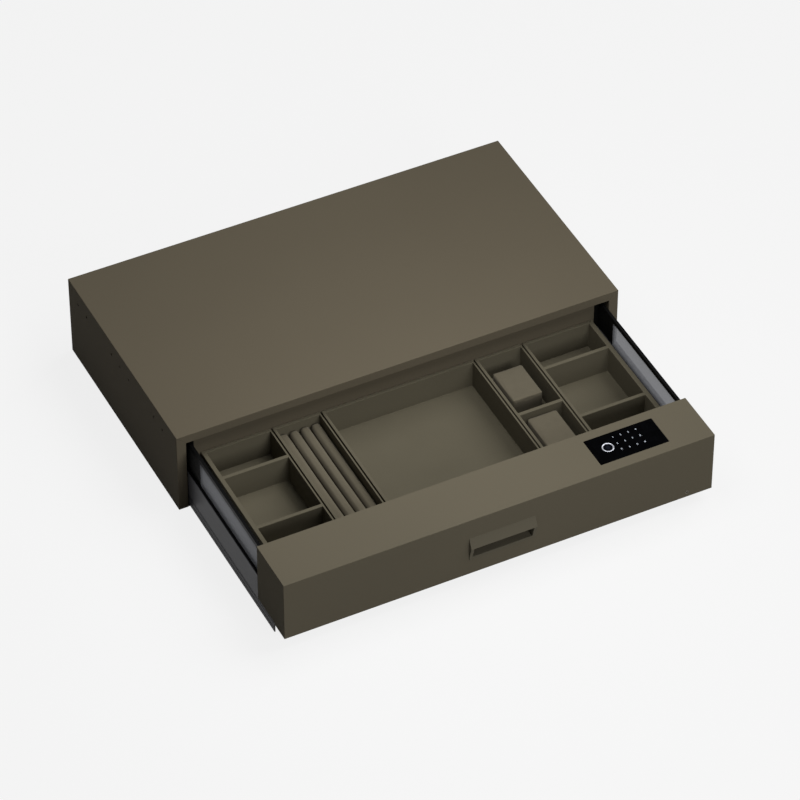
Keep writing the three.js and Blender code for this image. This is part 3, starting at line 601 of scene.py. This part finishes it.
@functools.cache
def dull_nickel():
    """Dull nickel with turning marks, for the small front socket."""
    finish = Finish("dull_nickel")
    marks = finish.noise(900.0, 3.0, 0.6)
    return finish.shader({
        "Base Color": finish.swing(linear((0.4, 0.38, 0.34)), 0.12, marks),
        "Metallic": 0.6,
        "Roughness": 0.42 + marks * 0.14,
        "Specular IOR Level": 0.2,
    })


@functools.cache
def cell_wrap():
    """Plain satin shrink wrap of a battery cell, darker at the positive end."""
    finish = Finish("cell_wrap")
    ripple = finish.noise(240.0, 3.0, 0.6)
    own = finish.node("TexCoord", output="Object")
    across = finish.node("SeparateXYZ", {}, {0: own}, "X")
    positive_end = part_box("battery_cell_1")[1].x
    band = across > positive_end - 14 * MM
    colour = finish.mix(band, linear((0.36, 0.37, 0.39)), linear((0.5, 0.36, 0.2)))
    return finish.shader({
        "Base Color": colour,
        "Metallic": 0.35,
        "Roughness": 0.32 + ripple * 0.16,
        "Normal": finish.bump(ripple, 0.1, 0.00005),
    })


@functools.cache
def tray_liner():
    """Fine-grained lining: small cells with creases between them, and the colour darker in the
    creases as painted shade.
    """
    finish = Finish("tray_liner")
    creases = finish.cells(1150.0, "DISTANCE_TO_EDGE")
    folds = finish.noise(260.0, 3.0, 0.6)
    clouds = finish.noise(14.0, 3.0)
    crease_shade_mask = finish.ramp(creases, (0.0, 0.0), (0.16, 1.0))
    grain = crease_shade_mask * 0.65 + folds * 0.35
    return finish.shader({
        # The colour darkens in the creases between the cells: painted shade, besides the bump
        # that shapes them.
        "Base Color": finish.swing(tint("liner"), 0.14, grain * 0.6 + clouds * 0.4),
        "Roughness": 0.78 - crease_shade_mask * 0.1,
        "Specular IOR Level": 0.02,
        "Normal": finish.bump(grain, 0.3, 0.00008),
    })


@functools.cache
def pad_fabric():
    """Suede-like cover: brushed patches over a short fine nap."""
    finish = Finish("pad_fabric")
    nap = finish.noise(3200.0, 3.0, 0.7)
    patches = finish.noise(55.0, 4.0, 0.6)
    strands = finish.noise(900.0, 4.0, 0.7, (1.0, 0.45, 1.0))
    blend = patches * 0.45 + strands * 0.35 + nap * 0.2
    return finish.shader({
        "Base Color": finish.swing(tint("suede"), 0.2, blend),
        "Roughness": 0.92 + (nap - 0.5) * 0.1,
        "Specular IOR Level": 0.02,
        "Sheen Weight": 0.08,
        "Sheen Roughness": 0.5,
        "Normal": finish.bump(strands * 0.6 + nap * 0.4, 0.4, 0.00015),
    })


# Modelling


def pick(obj):
    """Makes one object the only selected one, and the active one."""
    if bpy.context.object and bpy.context.object.mode != "OBJECT":
        bpy.ops.object.mode_set(mode="OBJECT")
    bpy.ops.object.select_all(action="DESELECT")
    obj.select_set(True)
    bpy.context.view_layer.objects.active = obj


def settle(obj):
    """Puts the object's place, turn and scale into its mesh."""
    pick(obj)
    bpy.ops.object.transform_apply(location=True, rotation=True, scale=True)


def modify(obj, kind, **settings):
    """Adds one modifier and applies it."""
    pick(obj)
    bpy.ops.object.modifier_add(type=kind)
    modifier = obj.modifiers[-1]
    for key, value in settings.items():
        setattr(modifier, key, value)
    bpy.ops.object.modifier_apply(modifier=modifier.name)


def rounded(obj, width, segments=2):
    """Rounds every sharp edge, and keeps flat faces flat in the light."""
    modify(
        obj,
        "BEVEL",
        width=width,
        segments=segments,
        limit_method="ANGLE",
        angle_limit=SHARP_ANGLE,
        use_clamp_overlap=True,
    )
    smooth(obj)


def smooth(obj, angle=50.0):
    pick(obj)
    bpy.ops.object.shade_smooth_by_angle(angle=math.radians(angle))
    modify(obj, "WEIGHTED_NORMAL", mode="FACE_AREA", keep_sharp=True)


def linked(name, mesh):
    """A new object in the scene, with the mesh."""
    obj = bpy.data.objects.new(name, mesh)
    bpy.context.collection.objects.link(obj)
    return obj


def twin_of(obj, name, shift):
    """A copy of a piece with its own mesh, moved by the shift."""
    twin = linked(name, obj.data.copy())
    twin.location = shift
    settle(twin)
    return twin


def base_of(node):
    """The middle of the underside of a CAD node's box."""
    low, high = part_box(node)
    return ((low.x + high.x) / 2, (low.y + high.y) / 2, low.z)


def reach_of(node):
    """How far a side piece's inner and outer faces stand from the middle plane."""
    return sorted(abs(corner.x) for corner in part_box(node))


def copy_of(node, name):
    """A welded copy of a CAD node's mesh, free of the flat faces' inner edges."""
    obj = linked(name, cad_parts[node].data.copy())
    pick(obj)
    bpy.ops.mesh.customdata_custom_splitnormals_clear()
    bpy.ops.object.mode_set(mode="EDIT")
    bpy.ops.mesh.select_all(action="SELECT")
    bpy.ops.mesh.remove_doubles(threshold=WELD)
    bpy.ops.mesh.dissolve_limited(angle_limit=FLAT_ANGLE)
    bpy.ops.object.mode_set(mode="OBJECT")
    return obj


def hand_over(obj, body, slot, material, *nodes):
    """Gives a finished piece its material and its body, and hides the nodes it stands for; the
    slot is not used.
    """
    obj.data.materials.clear()
    obj.data.materials.append(material)
    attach(obj, body)
    if nodes:
        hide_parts(*nodes)
    return obj


def softened(node, body, slot, material, width, segments=2):
    """A copy of a CAD node with rounded edges, shown in its place."""
    obj = copy_of(node, node + "_piece")
    rounded(obj, width, segments)
    return hand_over(obj, body, slot, material, node)


def carried(node, material):
    """A CAD node that stays as it is, with its finish."""
    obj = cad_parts[node]
    obj.data.materials.clear()
    obj.data.materials.append(material)


def block(name, low, high):
    """A block between two corners, from a cube primitive."""
    low, high = Vector(low), Vector(high)
    bpy.ops.mesh.primitive_cube_add(size=1.0, location=(low + high) / 2)
    obj = bpy.context.active_object
    obj.name = name
    obj.scale = high - low
    settle(obj)
    return obj


def turned(name, stations, segments=48):
    """A round piece about the Z axis, drawn up by extruding and sizing one ring."""
    radius, height = stations[0]
    bpy.ops.object.select_all(action="DESELECT")
    bpy.ops.mesh.primitive_circle_add(
        vertices=segments, radius=radius, fill_type="NGON", location=(0, 0, height)
    )
    obj = bpy.context.active_object
    obj.name = name
    settle(obj)
    bpy.ops.object.mode_set(mode="EDIT")
    bpy.ops.mesh.select_all(action="SELECT")
    for next_radius, next_height in stations[1:]:
        move = {"value": (0, 0, next_height - height)}
        bpy.ops.mesh.extrude_region_move(TRANSFORM_OT_translate=move)
        ratio = next_radius / radius
        centre = (0, 0, next_height)
        bpy.ops.transform.resize(value=(ratio, ratio, 1), center_override=centre)
        radius, height = next_radius, next_height
    bpy.ops.mesh.select_all(action="SELECT")
    bpy.ops.mesh.normals_make_consistent(inside=False)
    bpy.ops.object.mode_set(mode="OBJECT")
    return obj


def laid(obj, place, turn=(0.0, 0.0, 0.0)):
    """Moves a piece modelled at the origin to its place, with its turn."""
    obj.rotation_euler = turn
    obj.location = place
    settle(obj)
    return obj


def joined(name, pieces):
    """One piece out of several."""
    pick(pieces[0])
    for obj in pieces[1:]:
        obj.select_set(True)
    if len(pieces) > 1:
        bpy.ops.object.join()
    made = bpy.context.view_layer.objects.active
    made.name = name
    return made


def repeated(obj, name, places):
    """Copies of one piece at several places, joined as one."""
    copies = [twin_of(obj, name, place) for place in places]
    bpy.data.objects.remove(obj)
    return joined(name, copies)


def shrunk(node, name, shares):
    """A copy of a CAD pad, drawn in a little toward the middle of its base."""
    obj = copy_of(node, name)
    pick(obj)
    bpy.ops.object.mode_set(mode="EDIT")
    bpy.ops.mesh.select_all(action="SELECT")
    bpy.ops.transform.resize(value=shares, center_override=base_of(node))
    bpy.ops.object.mode_set(mode="OBJECT")
    return obj


def bevelled(obj, chosen, width, segments):
    """Rounds the edges whose two ends pass the test, and no others."""
    pick(obj)
    bpy.ops.object.mode_set(mode="EDIT")
    bpy.ops.mesh.select_mode(type="EDGE")
    bpy.ops.mesh.select_all(action="DESELECT")
    bpy.ops.object.mode_set(mode="OBJECT")
    for edge in obj.data.edges:
        edge.select = chosen(*[obj.data.vertices[i].co for i in edge.vertices])
    bpy.ops.object.mode_set(mode="EDIT")
    bpy.ops.mesh.bevel(offset=width, segments=segments, affect="EDGES")
    bpy.ops.object.mode_set(mode="OBJECT")
    return obj


def plumped(obj, node, cell, swell):
    """Turns a slightly small solid into a padded piece: an even mesh, blown up as cloth
    under pressure, kept within the cap and the CAD pad's box, and smoothed once."""
    low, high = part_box(node)
    modify(obj, "REMESH", mode="VOXEL", voxel_size=cell, use_smooth_shade=True)
    blow(obj, low, high, swell)
    modify(obj, "SUBSURF", levels=1, render_levels=1)
    pick(obj)
    bpy.ops.object.shade_smooth()
    return obj


def blow(obj, low, high, cap):
    """Runs the cloth for its frames and keeps each point within the cap and the box."""
    start = [vertex.co.copy() for vertex in obj.data.vertices]
    pick(obj)
    bpy.ops.object.modifier_add(type="CLOTH")
    modifier = obj.modifiers[-1]
    for key, value in CLOTH.items():
        setattr(modifier.settings, key, value)
    modifier.settings.effector_weights.gravity = 0.0
    modifier.collision_settings.use_self_collision = False
    modifier.point_cache.frame_start = 1
    modifier.point_cache.frame_end = CLOTH_FRAMES
    scene = bpy.context.scene
    for step in range(1, CLOTH_FRAMES + 1):
        scene.frame_set(step)
    bpy.ops.object.modifier_apply(modifier=modifier.name)
    scene.frame_set(1)
    for vertex, before in zip(obj.data.vertices, start):
        moved = vertex.co - before
        if moved.length > cap:
            moved *= cap / moved.length
        spot = before + moved
        for axis in range(3):
            spot[axis] = min(max(spot[axis], low[axis]), high[axis])
        vertex.co = spot


# Operators


class SafeOperator(bpy.types.Operator):
    """Base of the operators that build one group of pieces each."""

    bl_options = {"REGISTER", "UNDO"}

    def execute(self, context):
        self.build(context.scene.safe_sizes)
        return {"FINISHED"}


class SAFE_OT_stage(SafeOperator):
    """Adds the camera, the lamps, the surroundings and the floor."""

    bl_idname = "safe.stage"
    bl_label = "Stage"

    def build(self, size):
        scene = bpy.context.scene
        scene.view_settings.view_transform = "Standard"
        self.add_camera(scene)
        self.add_lamps(scene.safe_light)
        self.add_surroundings(scene)
        self.add_floor(scene)

    def add_camera(self, scene):
        bpy.ops.object.camera_add(location=CAMERA_PLACE)
        camera = bpy.context.active_object
        camera.name = "photo_camera"
        camera.rotation_mode = "QUATERNION"
        camera.rotation_quaternion = CAMERA_AIM.to_track_quat("-Z", "Y")
        camera.data.sensor_width = SENSOR_WIDTH
        camera.data.lens = CAMERA_LENS
        camera.data.clip_end = VIEW_LIMIT
        scene.camera = camera

    def add_lamps(self, light):
        self.add_lamp("key_lamp", KEY_PLACE, KEY_SIDE, light.key_power)
        self.add_lamp("near_lamp", NEAR_PLACE, NEAR_SIDE, light.near_power)
        self.add_lamp("front_lamp", FRONT_PLACE, FRONT_SIDE, light.front_power)

    def add_lamp(self, name, place, side, power):
        bpy.ops.object.light_add(type="AREA", location=place)
        lamp = bpy.context.active_object
        lamp.name = name
        lamp.rotation_mode = "QUATERNION"
        lamp.rotation_quaternion = (STAGE_MIDDLE - place).to_track_quat("-Z", "Y")
        lamp.data.shape = "SQUARE"
        lamp.data.size = side
        lamp.data.energy = power

    def seen_directly(self, finish):
        """One for the rays that show the background: straight, mirrored or through glass."""
        rays = [
            finish.node("LightPath", output=name)
            for name in ("Is Camera Ray", "Is Glossy Ray", "Is Transmission Ray")
        ]
        return rays[0].math("MAXIMUM", rays[0].math("MAXIMUM", rays[0], rays[1]), rays[2])

    def add_surroundings(self, scene):
        world = bpy.data.worlds.new("surroundings")
        scene.world = world
        finish = Finish("surroundings", world)
        pale = linear(scene.safe_colours.floor)
        level = scene.safe_light.ambient
        colour = finish.mix(self.seen_directly(finish), (level, level, level, 1.0), pale)
        back = finish.node("Background", {}, {"Color": colour, "Strength": 1.0})
        finish.node("OutputWorld", {}, {"Surface": back})

    def add_floor(self, scene):
        bpy.ops.object.select_all(action="DESELECT")
        bpy.ops.mesh.primitive_plane_add(size=FLOOR_SIDE, location=(0, 0, -FLOOR_DROP))
        floor = bpy.context.active_object
        floor.name = "studio_floor"
        settle(floor)
        finish = Finish("studio_floor")
        pale = linear(scene.safe_colours.floor)
        share = scene.safe_light.shadow_share
        back = scene.safe_light.bounce
        thrown = finish.node("BsdfDiffuse", {}, {"Color": (back, back, back, 1.0)})
        lit = finish.node("BsdfDiffuse", {}, {"Color": pale})
        glow = finish.node("Emission", {}, {"Color": pale, "Strength": 1.0})
        shown = finish.node("MixShader", {}, {0: share, 1: glow, 2: lit})
        mixed = finish.node("MixShader", {}, {0: self.seen_directly(finish), 1: thrown, 2: shown})
        finish.node("OutputMaterial", {}, {"Surface": mixed})
        finish.material.cycles.emission_sampling = "NONE"
        floor.data.materials.append(finish.material)


class SAFE_OT_cabinet(SafeOperator):
    """Adds the cabinet's boards, its bottom plate and the screws that hold them."""

    bl_idname = "safe.cabinet"
    bl_label = "Cabinet"

    def build(self, size):
        boards = ("top_board", "left_side_board", "right_side_board", "back_board")
        for node in boards:
            softened(node, "cabinet", "cabinet_lacquer", cabinet_lacquer(), size.board_edge * 0.5)
        softened("bottom_plate", "cabinet", "olive_sheet", olive_sheet(), size.fitting_edge)
        self.add_screws(size)

    def add_screws(self, size):
        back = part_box("back_board")
        radius = size.screw_radius
        head = turned("screw", [
            (radius * 0.55, -SCREW_SINK),
            (radius * 0.9, -SCREW_SHOULDER),
            (radius, 0.0),
            (radius * 0.96, SCREW_CROWN * 0.7),
            (radius * 0.8, SCREW_CROWN),
            (radius * 0.42, SCREW_CROWN),
            (radius * 0.36, -SCREW_RECESS),
        ])
        laid(head, (0, 0, 0), (-math.pi / 2, 0, 0))
        smooth(head, 35.0)
        left, right = back[0].x, back[1].x
        columns = [left + SCREW_FROM_SIDE, left * INNER_SCREWS]
        columns += [right * INNER_SCREWS, right - SCREW_FROM_SIDE]
        rows = [back[0].z + SCREW_FROM_EDGE, back[1].z - SCREW_FROM_EDGE]
        places = [(x, back[1].y, z) for x in columns for z in rows]
        screws = repeated(head, "back_screws", places)
        hand_over(screws, "cabinet", "lock_steel", lock_steel())


class SAFE_OT_runners(SafeOperator):
    """Adds the three-part runners, their stops and the beads along the drawer members."""

    bl_idname = "safe.runners"
    bl_label = "Runners"

    def build(self, size):
        for side, sign in SIDES.items():
            edge = size.fitting_edge
            steel = runner_steel()
            softened(side + "_cabinet_runner", "cabinet", "runner_steel", steel, edge)
            softened(side + "_middle_runner", "middle_runners", "runner_steel", steel, edge)
            softened(side + "_runner_stop", "cabinet", "black_rubber", black_rubber(), 2 * edge)
            self.add_cover(side, size)
            self.add_beads(side, sign, size)

    def add_cover(self, side, size):
        node = side + "_drawer_runner"
        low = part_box(node)[0]
        obj = copy_of(node, node + "_piece")

        def at_nose(*ends):
            return all(abs(p.y - low.y) < WELD and abs(p.z - low.z) < WELD for p in ends)

        bevelled(obj, at_nose, size.runner_nose, 6)
        rounded(obj, size.fitting_edge)
        hand_over(obj, "drawer", "grey_runner_cover", grey_runner_cover(), node)

    def add_beads(self, side, sign, size):
        low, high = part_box(side + "_drawer_runner")
        face = high.x if sign > 0 else low.x
        reach = face + sign * size.bead_height
        beads = []
        for share in BEAD_HEIGHTS:
            z = low.z + (high.z - low.z) * share
            half = size.bead_width / 2
            bead = block(
                "bead",
                (min(face, reach), low.y + 2 * size.runner_nose, z - half),
                (max(face, reach), high.y - size.runner_nose, z + half),
            )
            rounded(bead, size.bead_height * 0.9, 3)
            beads.append(bead)
        made = joined(side + "_runner_beads", beads)
        hand_over(made, "drawer", "grey_runner_cover", grey_runner_cover())


class SAFE_OT_drawer_sides(SafeOperator):
    """Adds the drawer's profiles, glass, gaskets, top rails and ribbed rear brackets."""

    bl_idname = "safe.drawer_sides"
    bl_label = "Drawer sides"

    def build(self, size):
        edge = size.trim_edge
        for side, sign in SIDES.items():
            softened(side + "_side_profile", "drawer", "grey_profile", grey_profile(), edge)
            softened(side + "_side_glass", "drawer", "smoked_glass", smoked_glass(), edge)
            softened(side + "_top_rail", "drawer", "black_rail", black_rail(), edge)
            softened(side + "_rear_bracket", "drawer", "black_bracket", black_bracket(), edge)
            self.add_gasket(side, sign, size)
            self.add_ribs(side, sign, size)

    def add_gasket(self, side, sign, size):
        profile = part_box(side + "_side_profile")
        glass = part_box(side + "_side_glass")
        outer = reach_of(side + "_side_glass")[1]
        wall = reach_of(side + "_side_profile")[1] - PROFILE_LIP
        low_x, high_x = sorted((sign * outer, sign * wall))
        strip = block(
            side + "_glass_gasket",
            (low_x, profile[0].y, glass[0].z),
            (high_x, profile[1].y, profile[1].z - size.gasket_drop),
        )
        rounded(strip, GASKET_EDGE, 3)
        # The strip is black partly as a real rubber gasket and partly as painted shade for the
        # dark groove under the glass.
        hand_over(strip, "drawer", "black_rubber", black_rubber())

    def add_ribs(self, side, sign, size):
        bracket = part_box(side + "_rear_bracket")
        inner, outer = reach_of(side + "_side_glass")
        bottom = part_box(side + "_side_profile")[1].z + RIB_CLEARANCE
        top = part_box(side + "_top_rail")[0].z - RIB_CLEARANCE
        ribs = []
        half = size.rib_width / 2
        for face, out, stop in ((outer, 1, OUTER_RIB_STOP), (inner, -1, INNER_RIB_STOP)):
            near, far = sorted((sign * face, sign * (face + out * size.rib_height)))
            y = bracket[0].y + size.rib_pitch
            while y + half < bracket[1].y - stop:
                ribs.append(block("rib", (near, y - half, bottom), (far, y + half, top)))
                y += size.rib_pitch
        made = joined(side + "_bracket_ribs", ribs)
        rounded(made, size.rib_height * 0.6, 2)
        hand_over(made, "drawer", "black_bracket", black_bracket())


class SAFE_OT_drawer_floor(SafeOperator):
    """Adds the drawer's back and its base pan."""

    bl_idname = "safe.drawer_floor"
    bl_label = "Drawer floor"

    def build(self, size):
        softened("drawer_back", "drawer", "cabinet_lacquer", cabinet_lacquer(), size.board_edge)
        softened("base_pan", "drawer", "olive_sheet", olive_sheet(), size.fitting_edge)


class SAFE_OT_front_box(SafeOperator):
    """Adds the folded front box and the plate that closes it."""

    bl_idname = "safe.front_box"
    bl_label = "Front box"

    def build(self, size):
        softened("front_shell", "drawer", "olive_sheet", olive_sheet(), size.sheet_edge, 3)
        softened("front_box_back", "drawer", "olive_sheet", olive_sheet(), size.fitting_edge)


class SAFE_OT_pull(SafeOperator):
    """Adds the front pull with its hood and finger cup."""

    bl_idname = "safe.pull"
    bl_label = "Front pull"

    def build(self, size):
        softened("front_pull", "drawer", "pull_paint", pull_paint(), size.pull_edge, 3)


class SAFE_OT_keypad(SafeOperator):
    """Adds the keypad's housing, glass and digits, and the ringed finger sensor."""

    bl_idname = "safe.keypad"
    bl_label = "Keypad"

    rows = ("1234", "5678", "*90#")

    def build(self, size):
        softened("keypad_housing", "drawer", "black_plastic", black_plastic(), size.fitting_edge)
        softened("keypad_glass", "drawer", "black_glass", black_glass(), size.trim_edge, 3)
        self.add_digits(size)
        self.add_ring()
        self.add_pad()

    def add_digits(self, size):
        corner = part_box("keypad_glass")[1]
        first_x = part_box("fingerprint_ring")[1].x + DIGITS_FROM_RING
        back_y = corner.y - DIGITS_FROM_BACK
        glyphs = []
        for row, line in enumerate(self.rows):
            for column, sign in enumerate(line):
                x = first_x + column * size.digit_pitch_x
                y = back_y - row * size.digit_pitch_y
                glyphs.append(self.add_glyph(sign, (x, y, corner.z), size.digit_height))
        digits = joined("keypad_digits", glyphs)
        hand_over(digits, "drawer", "black_glass", digit_print())

    def add_glyph(self, sign, place, height):
        bpy.ops.object.select_all(action="DESELECT")
        bpy.ops.object.text_add(location=place)
        obj = bpy.context.active_object
        text = obj.data
        text.body = sign
        text.align_x = "CENTER"
        text.align_y = "CENTER"
        text.size = height * (STAR_SIZE if sign == "*" else GLYPH_SIZE)
        text.offset = height * GLYPH_WEIGHT
        text.extrude = GLYPH_LIFT
        pick(obj)
        bpy.ops.object.convert(target="MESH")
        settle(obj)
        return obj

    def add_ring(self):
        low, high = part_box("fingerprint_ring")
        outer = (high.x - low.x) / 2 - RING_INSET
        rise = high.z - low.z
        stations = [(outer - RING_WIDTH * share, rise * up) for share, up in RING_SECTION]
        stations.append((outer - RING_WIDTH, RING_SEAT))
        ring = turned("fingerprint_ring_piece", stations, FINE_TURN)
        laid(ring, base_of("fingerprint_ring"))
        smooth(ring, 40.0)
        hand_over(ring, "drawer", "bright_chrome", bright_chrome(), "fingerprint_ring")

    def add_pad(self):
        low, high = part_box("fingerprint_pad")
        outer = (high.x - low.x) / 2
        rise = high.z - low.z
        stations = [(outer * share, rise * up) for share, up in PAD_SECTION]
        pad = turned("fingerprint_pad_piece", [(outer, PAD_SEAT), *stations], FINE_TURN)
        laid(pad, base_of("fingerprint_pad"))
        smooth(pad, 40.0)
        hand_over(pad, "drawer", "sensor_glass", sensor_glass(), "fingerprint_pad")


class SAFE_OT_socket(SafeOperator):
    """Adds the small round socket low on the front."""

    bl_idname = "safe.socket"
    bl_label = "Socket"

    def build(self, size):
        low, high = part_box("emergency_socket")
        flange = (high.x - low.x) / 2
        piece = turned("emergency_socket_piece", [
            (SOCKET_BARREL, SOCKET_RISE - (high.y - low.y)),
            (SOCKET_BARREL, 0.0),
            (flange, 0.0),
            (flange, SOCKET_RISE * 0.55),
            (flange * 0.86, SOCKET_RISE),
            (flange * 0.55, SOCKET_RISE),
            (flange * 0.5, SOCKET_RISE * 0.4),
            (flange * 0.44, -SOCKET_DEPTH),
            (flange * 0.2, -SOCKET_DEPTH),
            (flange * 0.14, -SOCKET_PIN),
        ])
        centre = ((low.x + high.x) / 2, low.y + SOCKET_RISE, (low.z + high.z) / 2)
        laid(piece, centre, (math.pi / 2, 0, 0))
        smooth(piece, 35.0)
        hand_over(piece, "drawer", "bright_chrome", dull_nickel(), "emergency_socket")


class SAFE_OT_trays(SafeOperator):
    """Adds the five lined organiser trays."""

    bl_idname = "safe.trays"
    bl_label = "Trays"

    def build(self, size):
        for name in ("left", "ring", "centre", "watch", "right"):
            softened(name + "_tray", "drawer", "tray_liner", tray_liner(), size.tray_edge)


class SAFE_OT_ring_rolls(SafeOperator):
    """Adds the four padded ring rolls."""

    bl_idname = "safe.ring_rolls"
    bl_label = "Ring rolls"

    def build(self, size):
        first = shrunk("ring_roll_1", "ring_roll_1_pad", ROLL_SHARES)
        plumped(first, "ring_roll_1", size.roll_cell, size.roll_swell)
        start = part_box("ring_roll_1")[0]
        for number in range(2, 5):
            node = f"ring_roll_{number}"
            self.dress(twin_of(first, node + "_pad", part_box(node)[0] - start), node)
        self.dress(first, "ring_roll_1")

    def dress(self, obj, node):
        hand_over(obj, "drawer", "pad_fabric", pad_fabric(), node)


class SAFE_OT_watch_pillows(SafeOperator):
    """Adds the two padded watch pillows."""

    bl_idname = "safe.watch_pillows"
    bl_label = "Watch pillows"

    def build(self, size):
        for node in ("rear_watch_pillow", "front_watch_pillow"):
            self.add_pillow(node, size)

    def add_pillow(self, node, size):
        low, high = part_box(node)
        inset = size.pillow_inset
        pad = block(
            node + "_pad",
            (low.x + inset, low.y + inset, low.z),
            (high.x - inset, high.y - inset, high.z - inset),
        )
        back = high.y - inset

        def at_back(a, b):
            return min(a.y, b.y) > back - WELD and abs(a.z - b.z) > inset

        bevelled(pad, at_back, size.pillow_edge, 6)
        rounded(pad, size.pillow_rim, 3)
        plumped(pad, node, size.pillow_cell, size.pillow_swell)
        hand_over(pad, "drawer", "pad_fabric", pad_fabric(), node)


class SAFE_OT_lock(SafeOperator):
    """Adds the lock: motor, shaft, bolts, guides, strikes, control box and cables."""

    bl_idname = "safe.lock"
    bl_label = "Lock"

    def build(self, size):
        edge = size.fitting_edge
        plastic = black_plastic()
        softened("lock_motor", "drawer", "black_plastic", plastic, 2 * edge)
        softened("control_box", "drawer", "black_plastic", plastic, 3 * edge, 3)
        carried("motor_cable", cable_rubber())
        carried("battery_cable", cable_rubber())
        carried("lock_shaft", lock_steel())
        for side in SIDES:
            softened(side + "_bolt_guide", "drawer", "lock_steel", lock_steel(), edge)
            softened(side + "_strike", "cabinet", "lock_steel", lock_steel(), edge)
            carried(side + "_lock_bolt", lock_steel())


class SAFE_OT_battery(SafeOperator):
    """Adds the battery case, its cells and the hinged lid with its grip."""

    bl_idname = "safe.battery"
    bl_label = "Battery case"

    def build(self, size):
        edge = size.fitting_edge
        softened("battery_case", "drawer", "black_plastic", black_plastic(), edge)
        for number in range(1, 5):
            softened(f"battery_cell_{number}", "drawer", "cell_wrap", cell_wrap(), edge)
        softened("battery_lid", "battery_lid", "lid_plastic", lid_plastic(), edge)
        self.add_grip()

    def add_grip(self):
        low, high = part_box("battery_lid")
        ridges = []
        centre = (low.x + high.x) / 2
        face = low.y + LID_FACE
        for step in range(GRIP_RIDGES):
            z = high.z - GRIP_FROM_TOP - GRIP_STEP * step
            ridge = block(
                "ridge",
                (centre - GRIP_REACH, face, z - GRIP_HALF),
                (centre + GRIP_REACH, face + GRIP_RISE, z + GRIP_HALF),
            )
            ridges.append(ridge)
        made = joined("battery_lid_grip", ridges)
        rounded(made, GRIP_EDGE, 3)
        hand_over(made, "battery_lid", "lid_plastic", lid_plastic())


OPERATORS = (
    SAFE_OT_stage,
    SAFE_OT_cabinet,
    SAFE_OT_runners,
    SAFE_OT_drawer_sides,
    SAFE_OT_drawer_floor,
    SAFE_OT_front_box,
    SAFE_OT_pull,
    SAFE_OT_keypad,
    SAFE_OT_socket,
    SAFE_OT_trays,
    SAFE_OT_ring_rolls,
    SAFE_OT_watch_pillows,
    SAFE_OT_lock,
    SAFE_OT_battery,
)


class SAFE_PT_panel(bpy.types.Panel):
    """Lists the operators and the sizes, colours and lamps they read."""

    bl_idname = "SAFE_PT_panel"
    bl_label = "Drawer safe"
    bl_space_type = "VIEW_3D"
    bl_region_type = "UI"
    bl_category = "Safe"

    def draw(self, context):
        column = self.layout.column(align=True)
        for operator in OPERATORS:
            column.operator(operator.bl_idname)
        scene = context.scene
        for group in (scene.safe_sizes, scene.safe_colours, scene.safe_light):
            box = self.layout.box()
            for name in group.__annotations__:
                box.prop(group, name)


CLASSES = (SafeSizes, SafeColours, SafeLight, *OPERATORS, SAFE_PT_panel)


def register():
    for cls in CLASSES:
        bpy.utils.register_class(cls)
    bpy.types.Scene.safe_sizes = PointerProperty(type=SafeSizes)
    bpy.types.Scene.safe_colours = PointerProperty(type=SafeColours)
    bpy.types.Scene.safe_light = PointerProperty(type=SafeLight)


def unregister():
    del bpy.types.Scene.safe_light
    del bpy.types.Scene.safe_colours
    del bpy.types.Scene.safe_sizes
    for cls in reversed(CLASSES):
        bpy.utils.unregister_class(cls)


def main():
    register()
    for operator in OPERATORS:
        group, name = operator.bl_idname.split(".")
        getattr(getattr(bpy.ops, group), name)()


if __name__ == "__main__":
    main()
